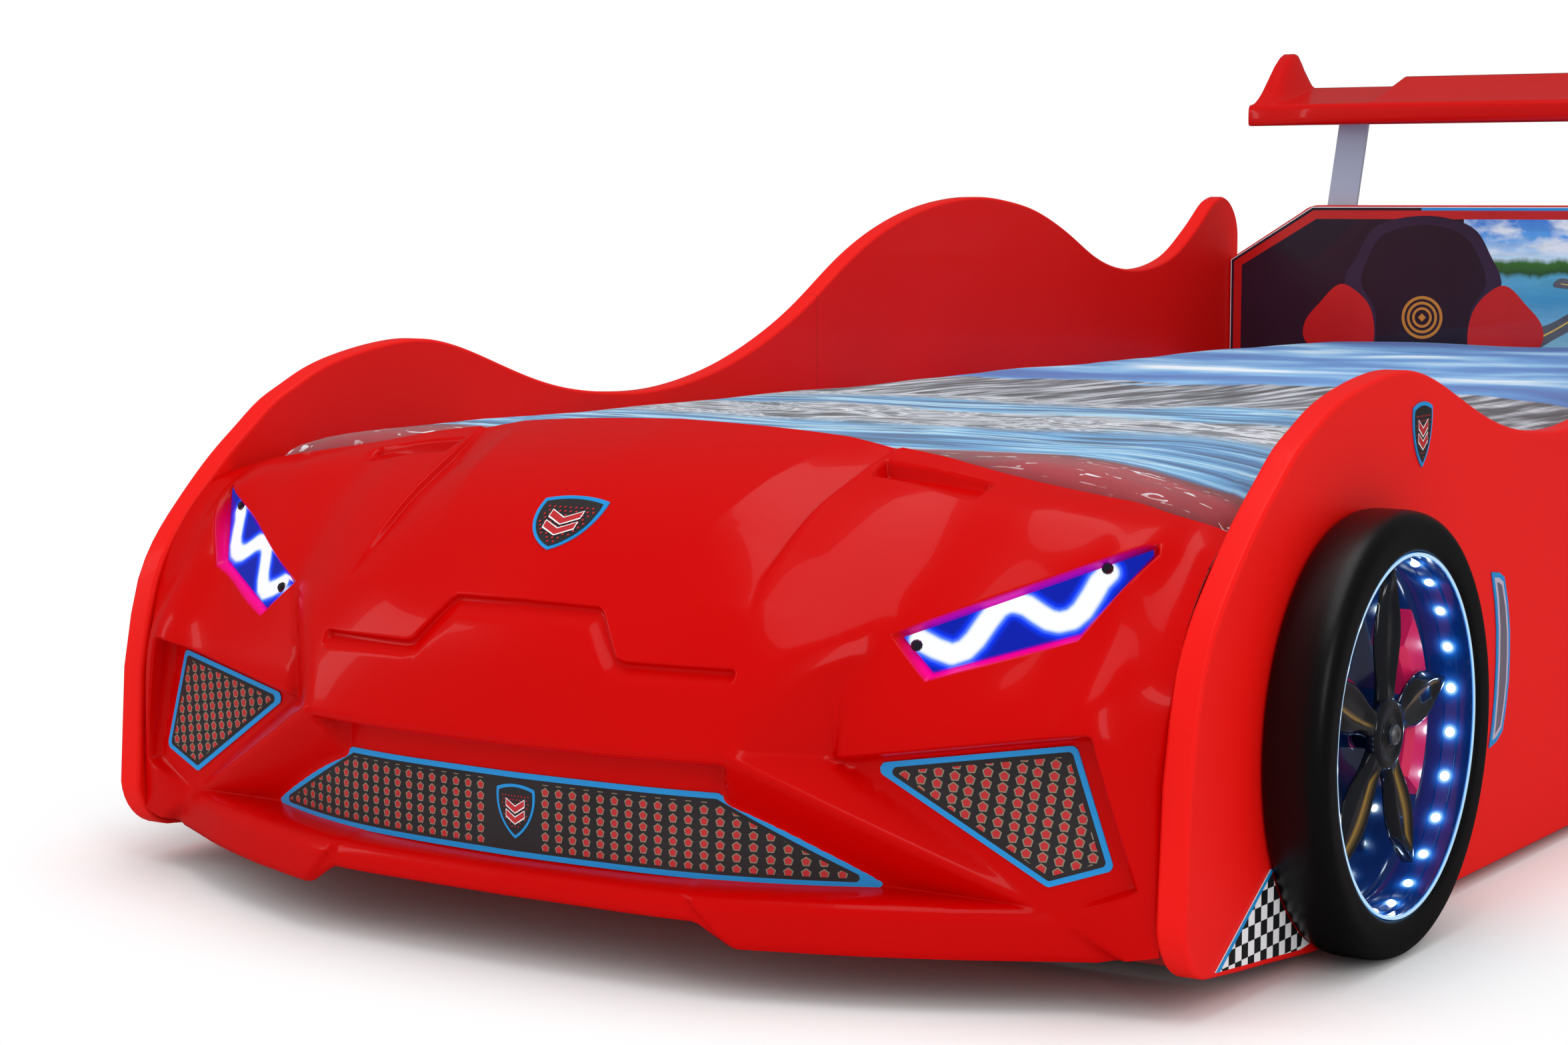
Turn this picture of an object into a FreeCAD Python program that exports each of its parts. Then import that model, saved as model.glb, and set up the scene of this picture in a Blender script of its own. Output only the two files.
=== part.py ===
import FreeCAD, Part
import os, math
from FreeCAD import Vector, Placement, Rotation

os.makedirs("parts", exist_ok=True)
doc = FreeCAD.newDocument("car_bed")

# ---------------------------------------------------------------- driving sizes (mm)
# Stations along the bed are counted from a datum just behind the lip tip (y = 0 there) and moved
# by y_shift, so that the part's box is centred on the origin.
SIZES = {
    "y_shift": -1169.0, "inner_width": 930.0, "panel_thickness": 22.0, "panel_bottom": 10.0,
    "seat_gap": 0.3,
    "front_board_y": 212.0, "board_thickness": 18.0, "head_board_y": 2246.0,
    "head_top": 543.0, "head_shoulder_x": 345.0, "head_side_top": 469.0, "print_thickness": 0.8,
    "mattress_width": 900.0, "mattress_length": 2000.0, "mattress_thickness": 168.0,
    "slat_top": 190.0, "slat_thickness": 18.0, "slat_width": 70.0, "slat_count": 14.0,
    "rail_width": 30.0, "rail_height": 36.0, "beam_width": 40.0, "beam_height": 60.0,
    "spread_thickness": 4.0, "spread_drop": 90.0,
    "wheel_radius": 164.0, "wheel_opening": 133.6, "wheel_depth": 48.0, "wheel_lift": 0.5,
    "tyre_bevel": 7.0,
    "wheel_front_y": 388.0, "wheel_rear_y": 1640.0,
    "pan_thickness": 3.0, "star_radius": 122.0, "star_hub_radius": 27.0, "star_set_back": 16.0,
    "bolt_radius": 4.0, "running_gap": 0.05, "led_count": 24.0,
    "bumper_wall": 3.5, "lip_bottom": 37.0, "lip_centre_bottom": 53.0, "lip_top": 77.0,
    "wing_front_y": 2205.0, "wing_rear_y": 2345.0, "wing_half_width": 430.0, "wing_bottom": 650.0,
    "strut_width": 41.0, "strut_thickness": 6.0,
}
sheet = doc.addObject("Spreadsheet::Sheet", "Dims")
for row, (name, value) in enumerate(SIZES.items(), start=1):
    sheet.set("A%d" % row, name)
    sheet.set("B%d" % row, str(value))
    sheet.setAlias("B%d" % row, name)
doc.recompute()


def dim(name):
    """One driving size, read back from the sheet."""
    return float(getattr(sheet, name))


YS = dim("y_shift")
HX = dim("inner_width") / 2
PT = dim("panel_thickness")
GAP = dim("seat_gap")
NODES = []


def keep(obj, label):
    """Marks an object as one sub-part of the bed."""
    obj.Label = label
    NODES.append((label, obj))
    return obj


def feature(label, shape):
    obj = doc.addObject("Part::Feature", label)
    obj.Shape = shape
    return keep(obj, label)


def bound_box(name, length, width, height, x, y, z):
    """A box whose six values are formulas of the sheet."""
    obj = doc.addObject("Part::Box", name)
    for prop, text in (("Length", length), ("Width", width), ("Height", height),
                       ("Placement.Base.x", x), ("Placement.Base.y", y), ("Placement.Base.z", z)):
        obj.setExpression(prop, text)
    return obj


def bound_cylinder(name, radius, height, base, axis):
    obj = doc.addObject("Part::Cylinder", name)
    obj.setExpression("Radius", radius)
    obj.setExpression("Height", height)
    obj.Placement = Placement(Vector(*base), Rotation(Vector(0, 0, 1), Vector(*axis)))
    return obj


def compound(label, objs):
    obj = doc.addObject("Part::Compound", label)
    obj.Links = objs
    return keep(obj, label)


def origin_plane(body, role):
    for item in body.Origin.OriginFeatures:
        if item.Role == role:
            return item


def sketch_on(body, role, offset_expr=None):
    sk = body.newObject("Sketcher::SketchObject", body.Name + "_sketch")
    sk.AttachmentSupport = [(origin_plane(body, role), "")]
    sk.MapMode = "FlatFace"
    if offset_expr:
        sk.setExpression("AttachmentOffset.Base.z", offset_expr)
    return sk


def polygon(sk, pts):
    for a, b in zip(pts, pts[1:] + pts[:1]):
        sk.addGeometry(Part.LineSegment(Vector(a[0], a[1], 0), Vector(b[0], b[1], 0)), False)


def circle(sk, r, cx=0.0, cy=0.0):
    sk.addGeometry(Part.Circle(Vector(cx, cy, 0), Vector(0, 0, 1), r), False)


def padded_body(name, role, pts, thickness_expr, offset_expr=None, reverse=False):
    body = doc.addObject("PartDesign::Body", name)
    sk = sketch_on(body, role, offset_expr)
    polygon(sk, pts)
    pad = body.newObject("PartDesign::Pad", name + "_pad")
    pad.Profile = sk
    pad.setExpression("Length", thickness_expr)
    pad.Reversed = reverse
    body.Tip = pad
    return body


def face_of(pts):
    return Part.Face(Part.makePolygon([Vector(*p) for p in pts] + [Vector(*pts[0])]))


def poly_solid(verts, faces):
    """A solid with flat faces from corner points and corner lists."""
    v = [Vector(*p) for p in verts]
    made = [Part.Face(Part.makePolygon([v[i] for i in f] + [v[f[0]]])) for f in faces]
    solid = Part.Solid(Part.Shell(made))
    if solid.Volume < 0:
        solid.reverse()
    return solid


def spline(pts):
    curve = Part.BSplineCurve()
    curve.interpolate([Vector(*p) for p in pts])
    return curve.toShape()


def mirrored(shape):
    return shape.mirror(Vector(0, 0, 0), Vector(1, 0, 0))


# ---------------------------------------------------------------- side panels
# Top line of a side panel as (station, height): front hump, dip, rear hump, dip and tail. Each
# three points that follow give one arc.
PANEL_TOP = [(117, 164), (128, 215), (140, 246), (157, 271), (181, 296), (207, 320), (233, 341), (260, 360),
             (285, 377), (311, 389), (337, 400), (388, 414), (440, 422), (488, 424), (533, 417.5),
             (590, 401), (652, 381.5), (716, 367), (784, 359.8), (854, 358), (920, 363.5),
             (1000, 379), (1078, 403.7), (1158, 438.7), (1241, 484), (1328, 520), (1418, 542.6),
             (1492, 552), (1546, 554), (1621, 547.8), (1672, 539.6), (1725, 525), (1779, 505),
             (1835, 481.5), (1885, 467), (1935, 460.5), (1985, 460.5), (2040, 468), (2085, 482),
             (2125, 503), (2165, 528), (2195, 547), (2222, 554.4)]


def panel_wire_edges():
    """Outline of a side panel in the plane of its face, as sketch curves (y across, z up)."""
    bottom = dim("panel_bottom")
    p = lambda y, z: Vector(y + YS, z, 0)
    top = [Part.Arc(p(*a), p(*b), p(*c)) for a, b, c in zip(PANEL_TOP[::2], PANEL_TOP[1::2], PANEL_TOP[2::2])]
    return [Part.LineSegment(p(110.8, 68), p(117, 164))] + top + [
            Part.Arc(p(2222, 554.4), p(2258, 537), p(2274, 495)),
            Part.LineSegment(p(2274, 495), p(2274, bottom)),
            Part.LineSegment(p(2274, bottom), p(330, bottom)),
            Part.LineSegment(p(330, bottom), p(155, 27)),
            Part.Arc(p(155, 27), p(124, 40), p(110.8, 68))]


def side_panel(label, side):
    """Thick board with a wavy top; blind holes take the two wheel bolts."""
    body = doc.addObject("PartDesign::Body", label)
    plus = side > 0
    sk = sketch_on(body, "YZ_Plane", "Dims.inner_width / 2" if plus else "-Dims.inner_width / 2")
    for g in panel_wire_edges():
        sk.addGeometry(g, False)
    pad = body.newObject("PartDesign::Pad", label + "_pad")
    pad.Profile = sk
    pad.setExpression("Length", "Dims.panel_thickness")
    pad.Reversed = not plus
    body.Tip = pad
    holes = body.newObject("Sketcher::SketchObject", label + "_holes")
    holes.AttachmentSupport = [(origin_plane(body, "YZ_Plane"), "")]
    holes.MapMode = "FlatFace"
    sign = "" if plus else "-"
    holes.setExpression("AttachmentOffset.Base.z", sign + "(Dims.inner_width / 2 + Dims.panel_thickness)")
    for key in ("wheel_front_y", "wheel_rear_y"):
        circle(holes, dim("bolt_radius") + 0.3, dim(key) + YS, dim("wheel_radius") + dim("wheel_lift"))
    cut = body.newObject("PartDesign::Pocket", label + "_bolt_holes")
    cut.Profile = holes
    cut.Length = 14.0
    cut.Reversed = not plus
    body.Tip = cut
    return keep(body, label)


side_panel("left_side_panel", 1)
side_panel("right_side_panel", -1)

# ---------------------------------------------------------------- front bumper and bonnet
# Sections as (station, height) points from the chin to the bonnet's rear edge.
NOSE = {
    0: [(-4, 165), (0, 192), (8.5, 226), (30, 262.4), (76, 315.4), (145, 357), (230, 383.5)],
    95: [(-1.5, 166), (3.5, 192), (13.4, 226), (36, 262), (82, 313), (148, 353), (230, 380)],
    188: [(7.8, 169), (14, 193), (27, 226.5), (53, 266), (98, 310), (155, 345), (230, 371)],
    266: [(30, 170), (40, 196), (58, 227), (84, 252), (125, 298), (172, 334), (230, 361)],
    345: [(74, 172), (86, 200), (102, 228), (128, 262), (160, 305), (190, 336), (230, 348)],
}
FLANK = {
    150: [(90, 62), (90, 100), (82, 150), (82, 180), (92, 215), (112, 255), (145, 290), (185, 315), (230, 332)],
    235: [(66, 62), (62, 100), (54, 150), (53, 172), (64, 212), (86, 250), (120, 288), (172, 322), (230, 342)],
    300: [(80, 62), (76, 100), (70, 150), (68, 178), (84, 226), (104, 264), (137, 294), (182, 324), (230, 346)],
    336: [(90, 62), (87, 100), (80, 150), (77, 184), (103, 238), (128, 281), (153, 308), (186, 332), (230, 347)],
    390: [(106, 62), (103, 100), (95, 150), (90, 193), (133, 254), (161, 304), (178, 318), (200, 330), (230, 340)],
    421: [(108, 62), (105, 100), (99, 150), (98, 197.6), (138, 260), (180, 313), (194, 320), (210, 327), (230, 333)],
    443: [(114, 62), (110, 100), (110, 150), (113, 195), (137, 246), (167, 285), (190, 304), (210, 317), (230, 326)],
}
FLANK_END = [(119, 62), (119.7, 108), (123.4, 153), (128.3, 190), (138, 231), (160, 272), (184, 299),
             (206, 314), (230, 321)]
# Plan line of the splitter lip, (x, station).
LIP = [(0, -7), (90, -4.5), (150, -1), (187, 6), (231, 21), (271, 36), (309, 53), (346, 71.5),
       (380, 91), (415, 111), (445, 127)]
LIP_END = 136
# Plan line of the grille sheet, (x, station): a middle arc and an arc to each side.
GRILLE = [(0, 20), (166, 35), (240, 60), (330, 103)]
FOLD = [(190.0, 7.8, 170.0), (266.0, 84.0, 252.0)]
INTAKE_TIP = (231.5, 51.0, 166.7)


def section_wire(x, pts, shift, floor, back):
    """One closed section: a smooth front line, the back and the floor."""
    moved = [(x, y + YS + shift, z - shift * 0.85) for y, z in pts]
    first, last = moved[0], moved[-1]
    moved[-1] = (x, back + YS, last[2] + (back - pts[-1][0] - shift) * 0.22)
    low = (x, back + YS, floor)
    front = (x, first[1], floor)
    edges = [spline(moved), Part.makeLine(Vector(*moved[-1]), Vector(*low)),
             Part.makeLine(Vector(*low), Vector(*front)), Part.makeLine(Vector(*front), Vector(*moved[0]))]
    return Part.Wire(edges)


def section_loft(table, end, end_x, shift, floor, back):
    """Ruled loft through the table's sections, with one more between each two for the outer skin,
    found on smooth curves that join the sections' points."""
    rows = [(x, table[x]) for x in sorted(table)] + ([(end_x, end)] if end else [])
    if 0 in table:
        rows = [(-x, p) for x, p in reversed(rows) if x > 0] + rows
    curves = []
    for i in range(len(rows[0][1])):
        curve = Part.BSplineCurve()
        curve.interpolate(Points=[Vector(x, *p[i]) for x, p in rows], Parameters=[x for x, p in rows])
        curves.append(curve)
    at = [rows[0][0]]
    for (x0, p), (x1, q) in zip(rows, rows[1:]):
        at += [x1] if shift else [(x0 + x1) / 2, x1]
    wires = []
    for x in at:
        pts = [curve.value(x) for curve in curves]
        wires.append(section_wire(x, [(p.y, p.z) for p in pts], shift, floor, back))
    half = Part.makeLoft(wires, True, True)
    return half if 0 in table else half.fuse(mirrored(half))


def plan_solid(line, end, end_x, shift, back, z0, z1):
    """A solid behind a plan line of arcs, between two heights."""
    pts = [p for p in line if p[0] <= end_x] + ([(end_x, end)] if end is not None else [])
    full = [(-x, y) for x, y in reversed(pts) if x > 0] + pts
    moved = [(x, y + YS + shift, z0) for x, y in full]
    a, b = moved[0], moved[-1]
    front = [Part.Arc(*[Vector(*moved[i + k]) for k in range(3)]).toShape() for i in range(0, len(moved) - 2, 2)]
    edges = front + [Part.makeLine(Vector(*b), Vector(b[0], back + YS, z0)),
             Part.makeLine(Vector(b[0], back + YS, z0), Vector(a[0], back + YS, z0)),
             Part.makeLine(Vector(a[0], back + YS, z0), Vector(*a))]
    return Part.Face(Part.Wire(edges)).extrude(Vector(0, 0, z1 - z0))


def block_at(point, n, size):
    """A block of the given size whose bottom face is centred on a point, pointing along n."""
    box = Part.makeBox(size, size, size)
    rot = Rotation(Vector(0, 0, 1), n)
    base = Vector(*point) - rot.multVec(Vector(size / 2, size / 2, 0))
    box.Placement = Placement(base, rot)
    return box


def fold_normal():
    a, b, t = Vector(*FOLD[0]), Vector(*FOLD[1]), Vector(*INTAKE_TIP)
    n = (b - a).cross(t - a)
    return n if n.x > 0 else n * -1


def bumper_mass(inner):
    """The bumper as one full mass, or the mass of its hollow when inner is true."""
    w = dim("bumper_wall") if inner else 0.0
    back = 260.0 if inner else 230.0
    end_x = HX - GAP - (4.0 if inner else 0.0)
    floor = -20.0 if inner else 52.0
    flank = section_loft(FLANK, FLANK_END, end_x, w, floor, back)
    nose = section_loft(NOSE, None, 0, w, 140.0 if not inner else 60.0, back)
    n = fold_normal()
    side = Vector(FOLD[0][0], FOLD[0][1] + YS, FOLD[0][2]) - Vector(n).normalize() * w
    cutter = block_at(side, Vector(n).normalize(), 1500)
    nose = nose.cut(cutter).cut(mirrored(cutter))
    core = plan_solid(GRILLE, None, 331, w, 205.0 if not inner else 250.0, -18.0 if inner else 66.0, 160.0)
    z0, z1 = dim("lip_bottom"), dim("lip_top")
    lip = plan_solid(LIP, LIP_END, end_x, w, 240.0 if inner else 192.0, z0 if not inner else -16.0, z1 - w)
    if not inner:
        zc = dim("lip_centre_bottom")
        notch = face_of([(-187, -200 + YS, z0 - 1), (-168, -200 + YS, zc), (168, -200 + YS, zc),
                         (187, -200 + YS, z0 - 1)]).extrude(Vector(0, 500, 0))
        lip = lip.cut(notch)
    wedge = ridge(w)
    mass = flank
    for other in (nose, core, lip, wedge, mirrored(wedge)):
        mass = mass.fuse(other)
    return mass.removeSplitter()


def ridge(w):
    """The slanting rib between the grille recess and a side intake."""
    pts = [(190, 7.8, 170), (396, 106, 66), (166, 30, 152), (312, 92, 66), (236, 53, 168), (404, 112, 72),
           (166, 150, 152), (312, 170, 66), (236, 150, 168), (404, 180, 72)]
    moved = [(x, y + YS + w * 1.4, z) for x, y, z in pts]
    return poly_solid(moved, [(0, 1, 3), (0, 3, 2), (0, 4, 5), (0, 5, 1), (2, 3, 7), (2, 7, 6),
                              (4, 8, 9), (4, 9, 5), (6, 7, 9), (6, 9, 8), (0, 2, 6), (0, 6, 8), (0, 8, 4),
                              (1, 5, 9), (1, 9, 7), (1, 7, 3)])


def offset_outline(pts, amount):
    """The outline of a flat polygon moved outwards by an amount."""
    wire = Part.makePolygon([Vector(*p) for p in pts] + [Vector(*pts[0])])
    if abs(amount) > 1e-6:
        wire = Part.Face(wire).OuterWire.makeOffset2D(amount, 2)
    return Part.Face(wire)


def unit(v):
    v = Vector(*v)
    v.normalize()
    return v


LAMP_NORMAL = unit((0.336, -0.825, 0.456))
INTAKE_NORMAL = unit((0.2446, -0.9694, 0.0193))
LAMP_OUTLINE = [(270.8, 87.0, 252.8), (426.5, 184.0, 318.8), (430.0, 180.5, 309.0), (394.0, 135.0, 253.0),
                (303.0, 80.0, 224.0)]
INTAKE_OUTLINE = [(236, 51, 166), (421, 98, 197), (444, 112, 97), (399, 108, 78)]


def flatten(pts, origin, normal):
    """Points dropped on to a plane."""
    o = Vector(origin[0], origin[1] + YS, origin[2])
    out = []
    for x, y, z in pts:
        p = Vector(x, y + YS, z)
        q = p - normal * (p - o).dot(normal)
        out.append((q.x, q.y, q.z))
    return out


def prism(pts, normal, front, depth, grow):
    """A straight-walled hollow from in front of the skin to a depth below the outline's plane."""
    face = offset_outline(pts, grow)
    face.translate(normal * front)
    return face.extrude(normal * -(front + depth))


LAMP_FLAT = flatten(LAMP_OUTLINE, (303.7, 83.8, 228.7), LAMP_NORMAL)
INTAKE_FLAT = flatten(INTAKE_OUTLINE, (264.3, 72.9, 164.6), INTAKE_NORMAL)
LAMP_SEAT = 11.0      # depth of the ledge that the lamp plate is screwed on
LAMP_DEPTH = 34.0     # depth of the lamp bowl
LAMP_LEDGE = 7.0      # width of that ledge


def pockets(grow):
    """Lamp, intake and grille recesses and the bonnet groove, grown by the wall for the hollow."""
    cuts = [prism(LAMP_FLAT, LAMP_NORMAL, 90.0, LAMP_SEAT + grow, grow),
            prism(LAMP_FLAT, LAMP_NORMAL, 90.0, LAMP_DEPTH + grow, grow - LAMP_LEDGE),
            prism(INTAKE_FLAT, INTAKE_NORMAL, 60.0, grow, grow)]
    g = grow
    trap = face_of([(-190 - g, -120 + YS, 166 + g), (190 + g, -120 + YS, 166 + g),
                    (318 + 2 * g, -120 + YS, 77 - g), (-318 - 2 * g, -120 + YS, 77 - g)])
    trap = trap.extrude(Vector(0, 300, 0))
    behind = plan_solid(GRILLE, None, 331, g, 400, 0.0, 300.0)
    cuts.append(trap.cut(behind))
    return cuts


# Bonnet valley on each side of the dome: station, then x and height of its inner start, its
# bottom and its outer end.
VALLEY = [(56, 92.5, 287.5, 179.5, 271, 184.5, 272), (80, 108.6, 310, 176.5, 291, 181.5, 297.5),
          (100, 118.6, 324.5, 177, 304, 182, 313.8), (135, 129.4, 344, 178, 326, 183, 336.3),
          (170, 137.3, 358.2, 181, 341.5, 186, 352.3), (200, 144.1, 367.5, 185.7, 355, 190.7, 362.4),
          (236, 152, 377.2, 192, 369, 197, 372.8)]


def bonnet_tools(lower):
    """Cutters for the valley and the rear vent of one side of the bonnet."""
    wires = []
    for y, x1, z1, x2, z2, x3, z3 in VALLEY:
        pts = [(x1, z1), (x2, z2), (x3, z3), (x3, z3 + 60), (x1, z1 + 60)]
        wires.append(Part.makePolygon([Vector(x, y + YS, z) for x, z in pts + pts[:1]]))
    valley = Part.makeLoft(wires, True, True)
    low = [(195.5, 184, 356), (284, 188, 340.3), (285, 211, 344.5), (195.5, 211, 353.5)]
    vent = poly_solid([(x, y + YS, z) for x, y, z in low] + [(x, y + YS, 420) for x, y, z in low],
                      [(0, 1, 2), (0, 2, 3), (4, 5, 6, 7), (0, 1, 5, 4), (1, 2, 6, 5), (2, 3, 7, 6), (3, 0, 4, 7)])
    for tool in (valley, vent):
        tool.translate(Vector(0, lower, -lower))
    return [valley, vent]


def groove():
    """The hat-shaped shut line pressed into the bonnet."""
    low = [(186, 223), (90, 221.5), (61, 256), (-61, 256), (-90, 221.5), (-186, 223)]
    high = [(-186, 230), (-98, 229.5), (-69, 264), (69, 264), (98, 229.5), (186, 230)]
    band = face_of([(x, -100 + YS, z) for x, z in low + high]).extrude(Vector(0, 300, 0))
    return band.cut(section_loft(NOSE, None, 0, 6.0, 100.0, 230.0))


def cut_all(mass, tools):
    for tool in tools:
        mass = mass.cut(tool)
        if tool.BoundBox.XMin > 0:
            mass = mass.cut(mirrored(tool))
    return mass


def front_bumper():
    """Outer mass less its recesses, hollowed so that one thin wall is left everywhere."""
    outer = cut_all(bumper_mass(False), pockets(0.0) + bonnet_tools(0.0)).cut(groove())
    inner = cut_all(bumper_mass(True), pockets(dim("bumper_wall")) + bonnet_tools(dim("bumper_wall")))
    band = groove()
    thick = band.copy()
    thick.translate(Vector(0, dim("bumper_wall"), 0))
    inner = inner.cut(thick)
    shell = outer.cut(inner)
    return sorted(shell.Solids, key=lambda s: -s.Volume)[0]


bumper = front_bumper()
feature("front_bumper", bumper)


# ---------------------------------------------------------------- lamps and trim sheets
def lamp_frame():
    """Origin and two directions in the plane of a lamp plate."""
    o = Vector(*LAMP_FLAT[0])
    along = (Vector(*LAMP_FLAT[1]) - o).normalize()
    return o, along, LAMP_NORMAL.cross(along)


def lamp_point(s, t, depth):
    """A point s along the lamp's top edge, t down from it and below the skin by a depth."""
    o, along, down = lamp_frame()
    if down.z > 0:
        down = down * -1
    return o + along * s + down * t - LAMP_NORMAL * depth


SCREW_AT = [(17.0, 13.0), (158.0, 5.5)]
TUBE_AT = [(32, 16), (46, 30), (62, 31), (76, 17), (92, 13), (108, 24), (124, 24), (138, 12)]


def side_pair(name, shape):
    feature("left_" + name, shape)
    feature("right_" + name, mirrored(shape))


def turned(profile):
    """A solid of revolution about Z from (radius, height) points."""
    wire = Part.makePolygon([Vector(r, 0, z) for r, z in profile + [profile[0]]])
    return Part.Face(wire).revolve(Vector(0, 0, 0), Vector(0, 0, 1), 360)


def dome_screw(at, out):
    """Domed screw head standing on a point and pointing out."""
    ring = lambda r, z: Part.makePolygon([Vector(r * math.cos(math.radians(36 * i)),
                                                 r * math.sin(math.radians(36 * i)), z) for i in range(11)])
    solid = Part.makeLoft([ring(4.4, 0), ring(4.2, 1.4), ring(2.6, 3.0)], True, True)
    solid.Placement = Placement(at, Rotation(Vector(0, 0, 1), out))
    return solid


def light_tube():
    """Wavy flexible light lying on the floor of the lamp bowl."""
    half, deep = 5.0, LAMP_DEPTH - GAP
    upper, lower = [], []
    for i, (s, t) in enumerate(TUBE_AT):
        a, b = TUBE_AT[max(i - 1, 0)], TUBE_AT[min(i + 1, len(TUBE_AT) - 1)]
        run = math.hypot(b[0] - a[0], b[1] - a[1])
        ns, nt = -(b[1] - a[1]) / run, (b[0] - a[0]) / run
        upper.append(lamp_point(s + ns * half, t + nt * half, deep))
        lower.append(lamp_point(s - ns * half, t - nt * half, deep))
    return Part.Face(Part.makePolygon(upper + lower[::-1] + [upper[0]])).extrude(LAMP_NORMAL * 9.0)


plate = prism(LAMP_FLAT, LAMP_NORMAL, -(LAMP_SEAT - 4.3), LAMP_SEAT - 0.3, -0.6)
screws = [dome_screw(lamp_point(s, t, LAMP_SEAT - 4.6), LAMP_NORMAL) for s, t in SCREW_AT]
side_pair("lamp_plate", plate)
side_pair("lamp_tube", light_tube())
feature("lamp_screws", Part.makeCompound(screws + [mirrored(q) for q in screws]))

SHEET = 0.8
INTAKE_SHEET = flatten([(264.3, 72.9, 164.6), (406.9, 109.3, 186.1), (433.7, 114.4, 102.8), (389.5, 109.3, 87.7)],
                       (264.3, 72.9, 164.6), INTAKE_NORMAL)
sheet_face = offset_outline(INTAKE_SHEET, 0.0)
sheet_face.translate(INTAKE_NORMAL * 0.3)
side_pair("intake_sheet", sheet_face.extrude(INTAKE_NORMAL * SHEET))

grille = plan_solid(GRILLE, None, 331, -0.3 - SHEET, 400, 0.0, 300.0).cut(
    plan_solid(GRILLE, None, 331, -0.3, 400, 0.0, 300.0))
outline = face_of([(-166, -120 + YS, 145), (166, -120 + YS, 145), (292, -120 + YS, 79),
                   (-292, -120 + YS, 79)]).extrude(Vector(0, 300, 0))
grille = grille.common(outline)
feature("grille_sheet", sorted(grille.Solids, key=lambda q: -q.Volume)[0])


def shield(width, height, thickness):
    """A small shield standing on the XY plane, point down the -Y side."""
    w, h = width / 2, height
    edges = [Part.Arc(Vector(-w, h * 0.42, 0), Vector(0, h * 0.5, 0), Vector(w, h * 0.42, 0)).toShape(),
             Part.Arc(Vector(w, h * 0.42, 0), Vector(w * 0.78, -h * 0.12, 0), Vector(0, -h * 0.5, 0)).toShape(),
             Part.Arc(Vector(0, -h * 0.5, 0), Vector(-w * 0.78, -h * 0.12, 0),
                      Vector(-w, h * 0.42, 0)).toShape()]
    return Part.Face(Part.Wire(edges)).extrude(Vector(0, 0, thickness))


def placed(shape, base, rotation):
    shape.Placement = Placement(Vector(*base), rotation)
    return shape


upright = Rotation(Vector(1, 0, 0), 90)
feature("grille_emblem", placed(shield(34, 40, 1.2), (0, 20 + YS - 1.4, 111), upright))
tilt = Rotation(Vector(1, 0, 0), 45.0)
feature("bonnet_emblem", placed(shield(58, 52, 1.2), (0, 76 + YS - 0.8, 315.4 + 0.8), tilt))
for label, side in (("left_side_emblem", 1), ("right_side_emblem", -1)):
    turn = Rotation(Vector(0, 0, 1), 90 * side).multiply(upright)
    feature(label, placed(shield(38, 50, 1.0), (side * (HX + PT + GAP), 515 + YS, 374), turn))


def side_sheet(label, side, *outlines):
    """Thin printed sheets on the outer face of a side panel."""
    x = side * (HX + PT + GAP)
    around = Part.makeCylinder(dim("wheel_radius") + 0.6, 20.0,
                               Vector(x - side * 10, dim("wheel_front_y") + YS,
                                      dim("wheel_radius") + dim("wheel_lift")), Vector(side, 0, 0))
    faces = [face_of([(x, y + YS, z) for y, z in pts]) for pts in outlines]
    made = [f.extrude(Vector(side * SHEET, 0, 0)).cut(around) for f in faces]
    feature(label, Part.makeCompound([sorted(m.Solids, key=lambda q: -q.Volume)[0] for m in made]))


for label, side in (("left", 1), ("right", -1)):
    side_sheet(label + "_vent_sheet", side, [(672, 253), (702, 246), (718, 200), (718, 160), (706, 119),
                                             (676, 109), (686, 150), (687, 205)])
    side_sheet(label + "_chequer_sheets", side, [(247, 92), (330, 40), (330, 16), (158, 31)],
               [(500, 15), (500, 50), (545, 42), (585, 15)])


# ---------------------------------------------------------------- wheels
def wheel_frame(side, station):
    """Placement that takes wheel coordinates (Z outwards, Y up) to a wheel on a panel's outer face."""
    rot = Rotation(Vector(0, 0, 1), 90.0 if side > 0 else -90.0).multiply(Rotation(Vector(1, 0, 0), 90.0))
    return Placement(Vector(side * (HX + PT + GAP), dim(station) + YS, dim("wheel_radius") + dim("wheel_lift")),
                     rot)


def tyre_body(name, place):
    """Tyre ring turned from a sketch; the outer shoulder is bevelled."""
    body = doc.addObject("PartDesign::Body", name)
    sk = sketch_on(body, "XZ_Plane")
    r, ro, d, k = dim("wheel_radius"), dim("wheel_opening"), dim("wheel_depth"), dim("tyre_bevel")
    line = lambda a, b: Part.LineSegment(Vector(a[0], a[1], 0), Vector(b[0], b[1], 0))
    for g in (line((ro, 0), (r, 0)), line((r, 0), (r, d - k)), line((r, d - k), (r - k, d)),
              line((r - k, d), (ro, d)), line((ro, d), (ro, 0))):
        sk.addGeometry(g, False)
    rev = body.newObject("PartDesign::Revolution", name + "_turned")
    rev.Profile = sk
    rev.ReferenceAxis = (sk, ["V_Axis"])
    rev.Angle = 360
    body.Tip = rev
    body.Placement = place
    return keep(body, name)


def wheel_pan():
    """Dish behind the star: a disc with a low outer wall, and a centre hole for the bolt."""
    r = dim("wheel_opening") - GAP
    t, top = dim("pan_thickness"), dim("wheel_depth") - 3.0
    hole = dim("bolt_radius") + 0.3
    return turned([(hole, 0), (r, 0), (r, top), (r - 2.6, top), (r - 2.6, t), (hole, t)])


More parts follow.
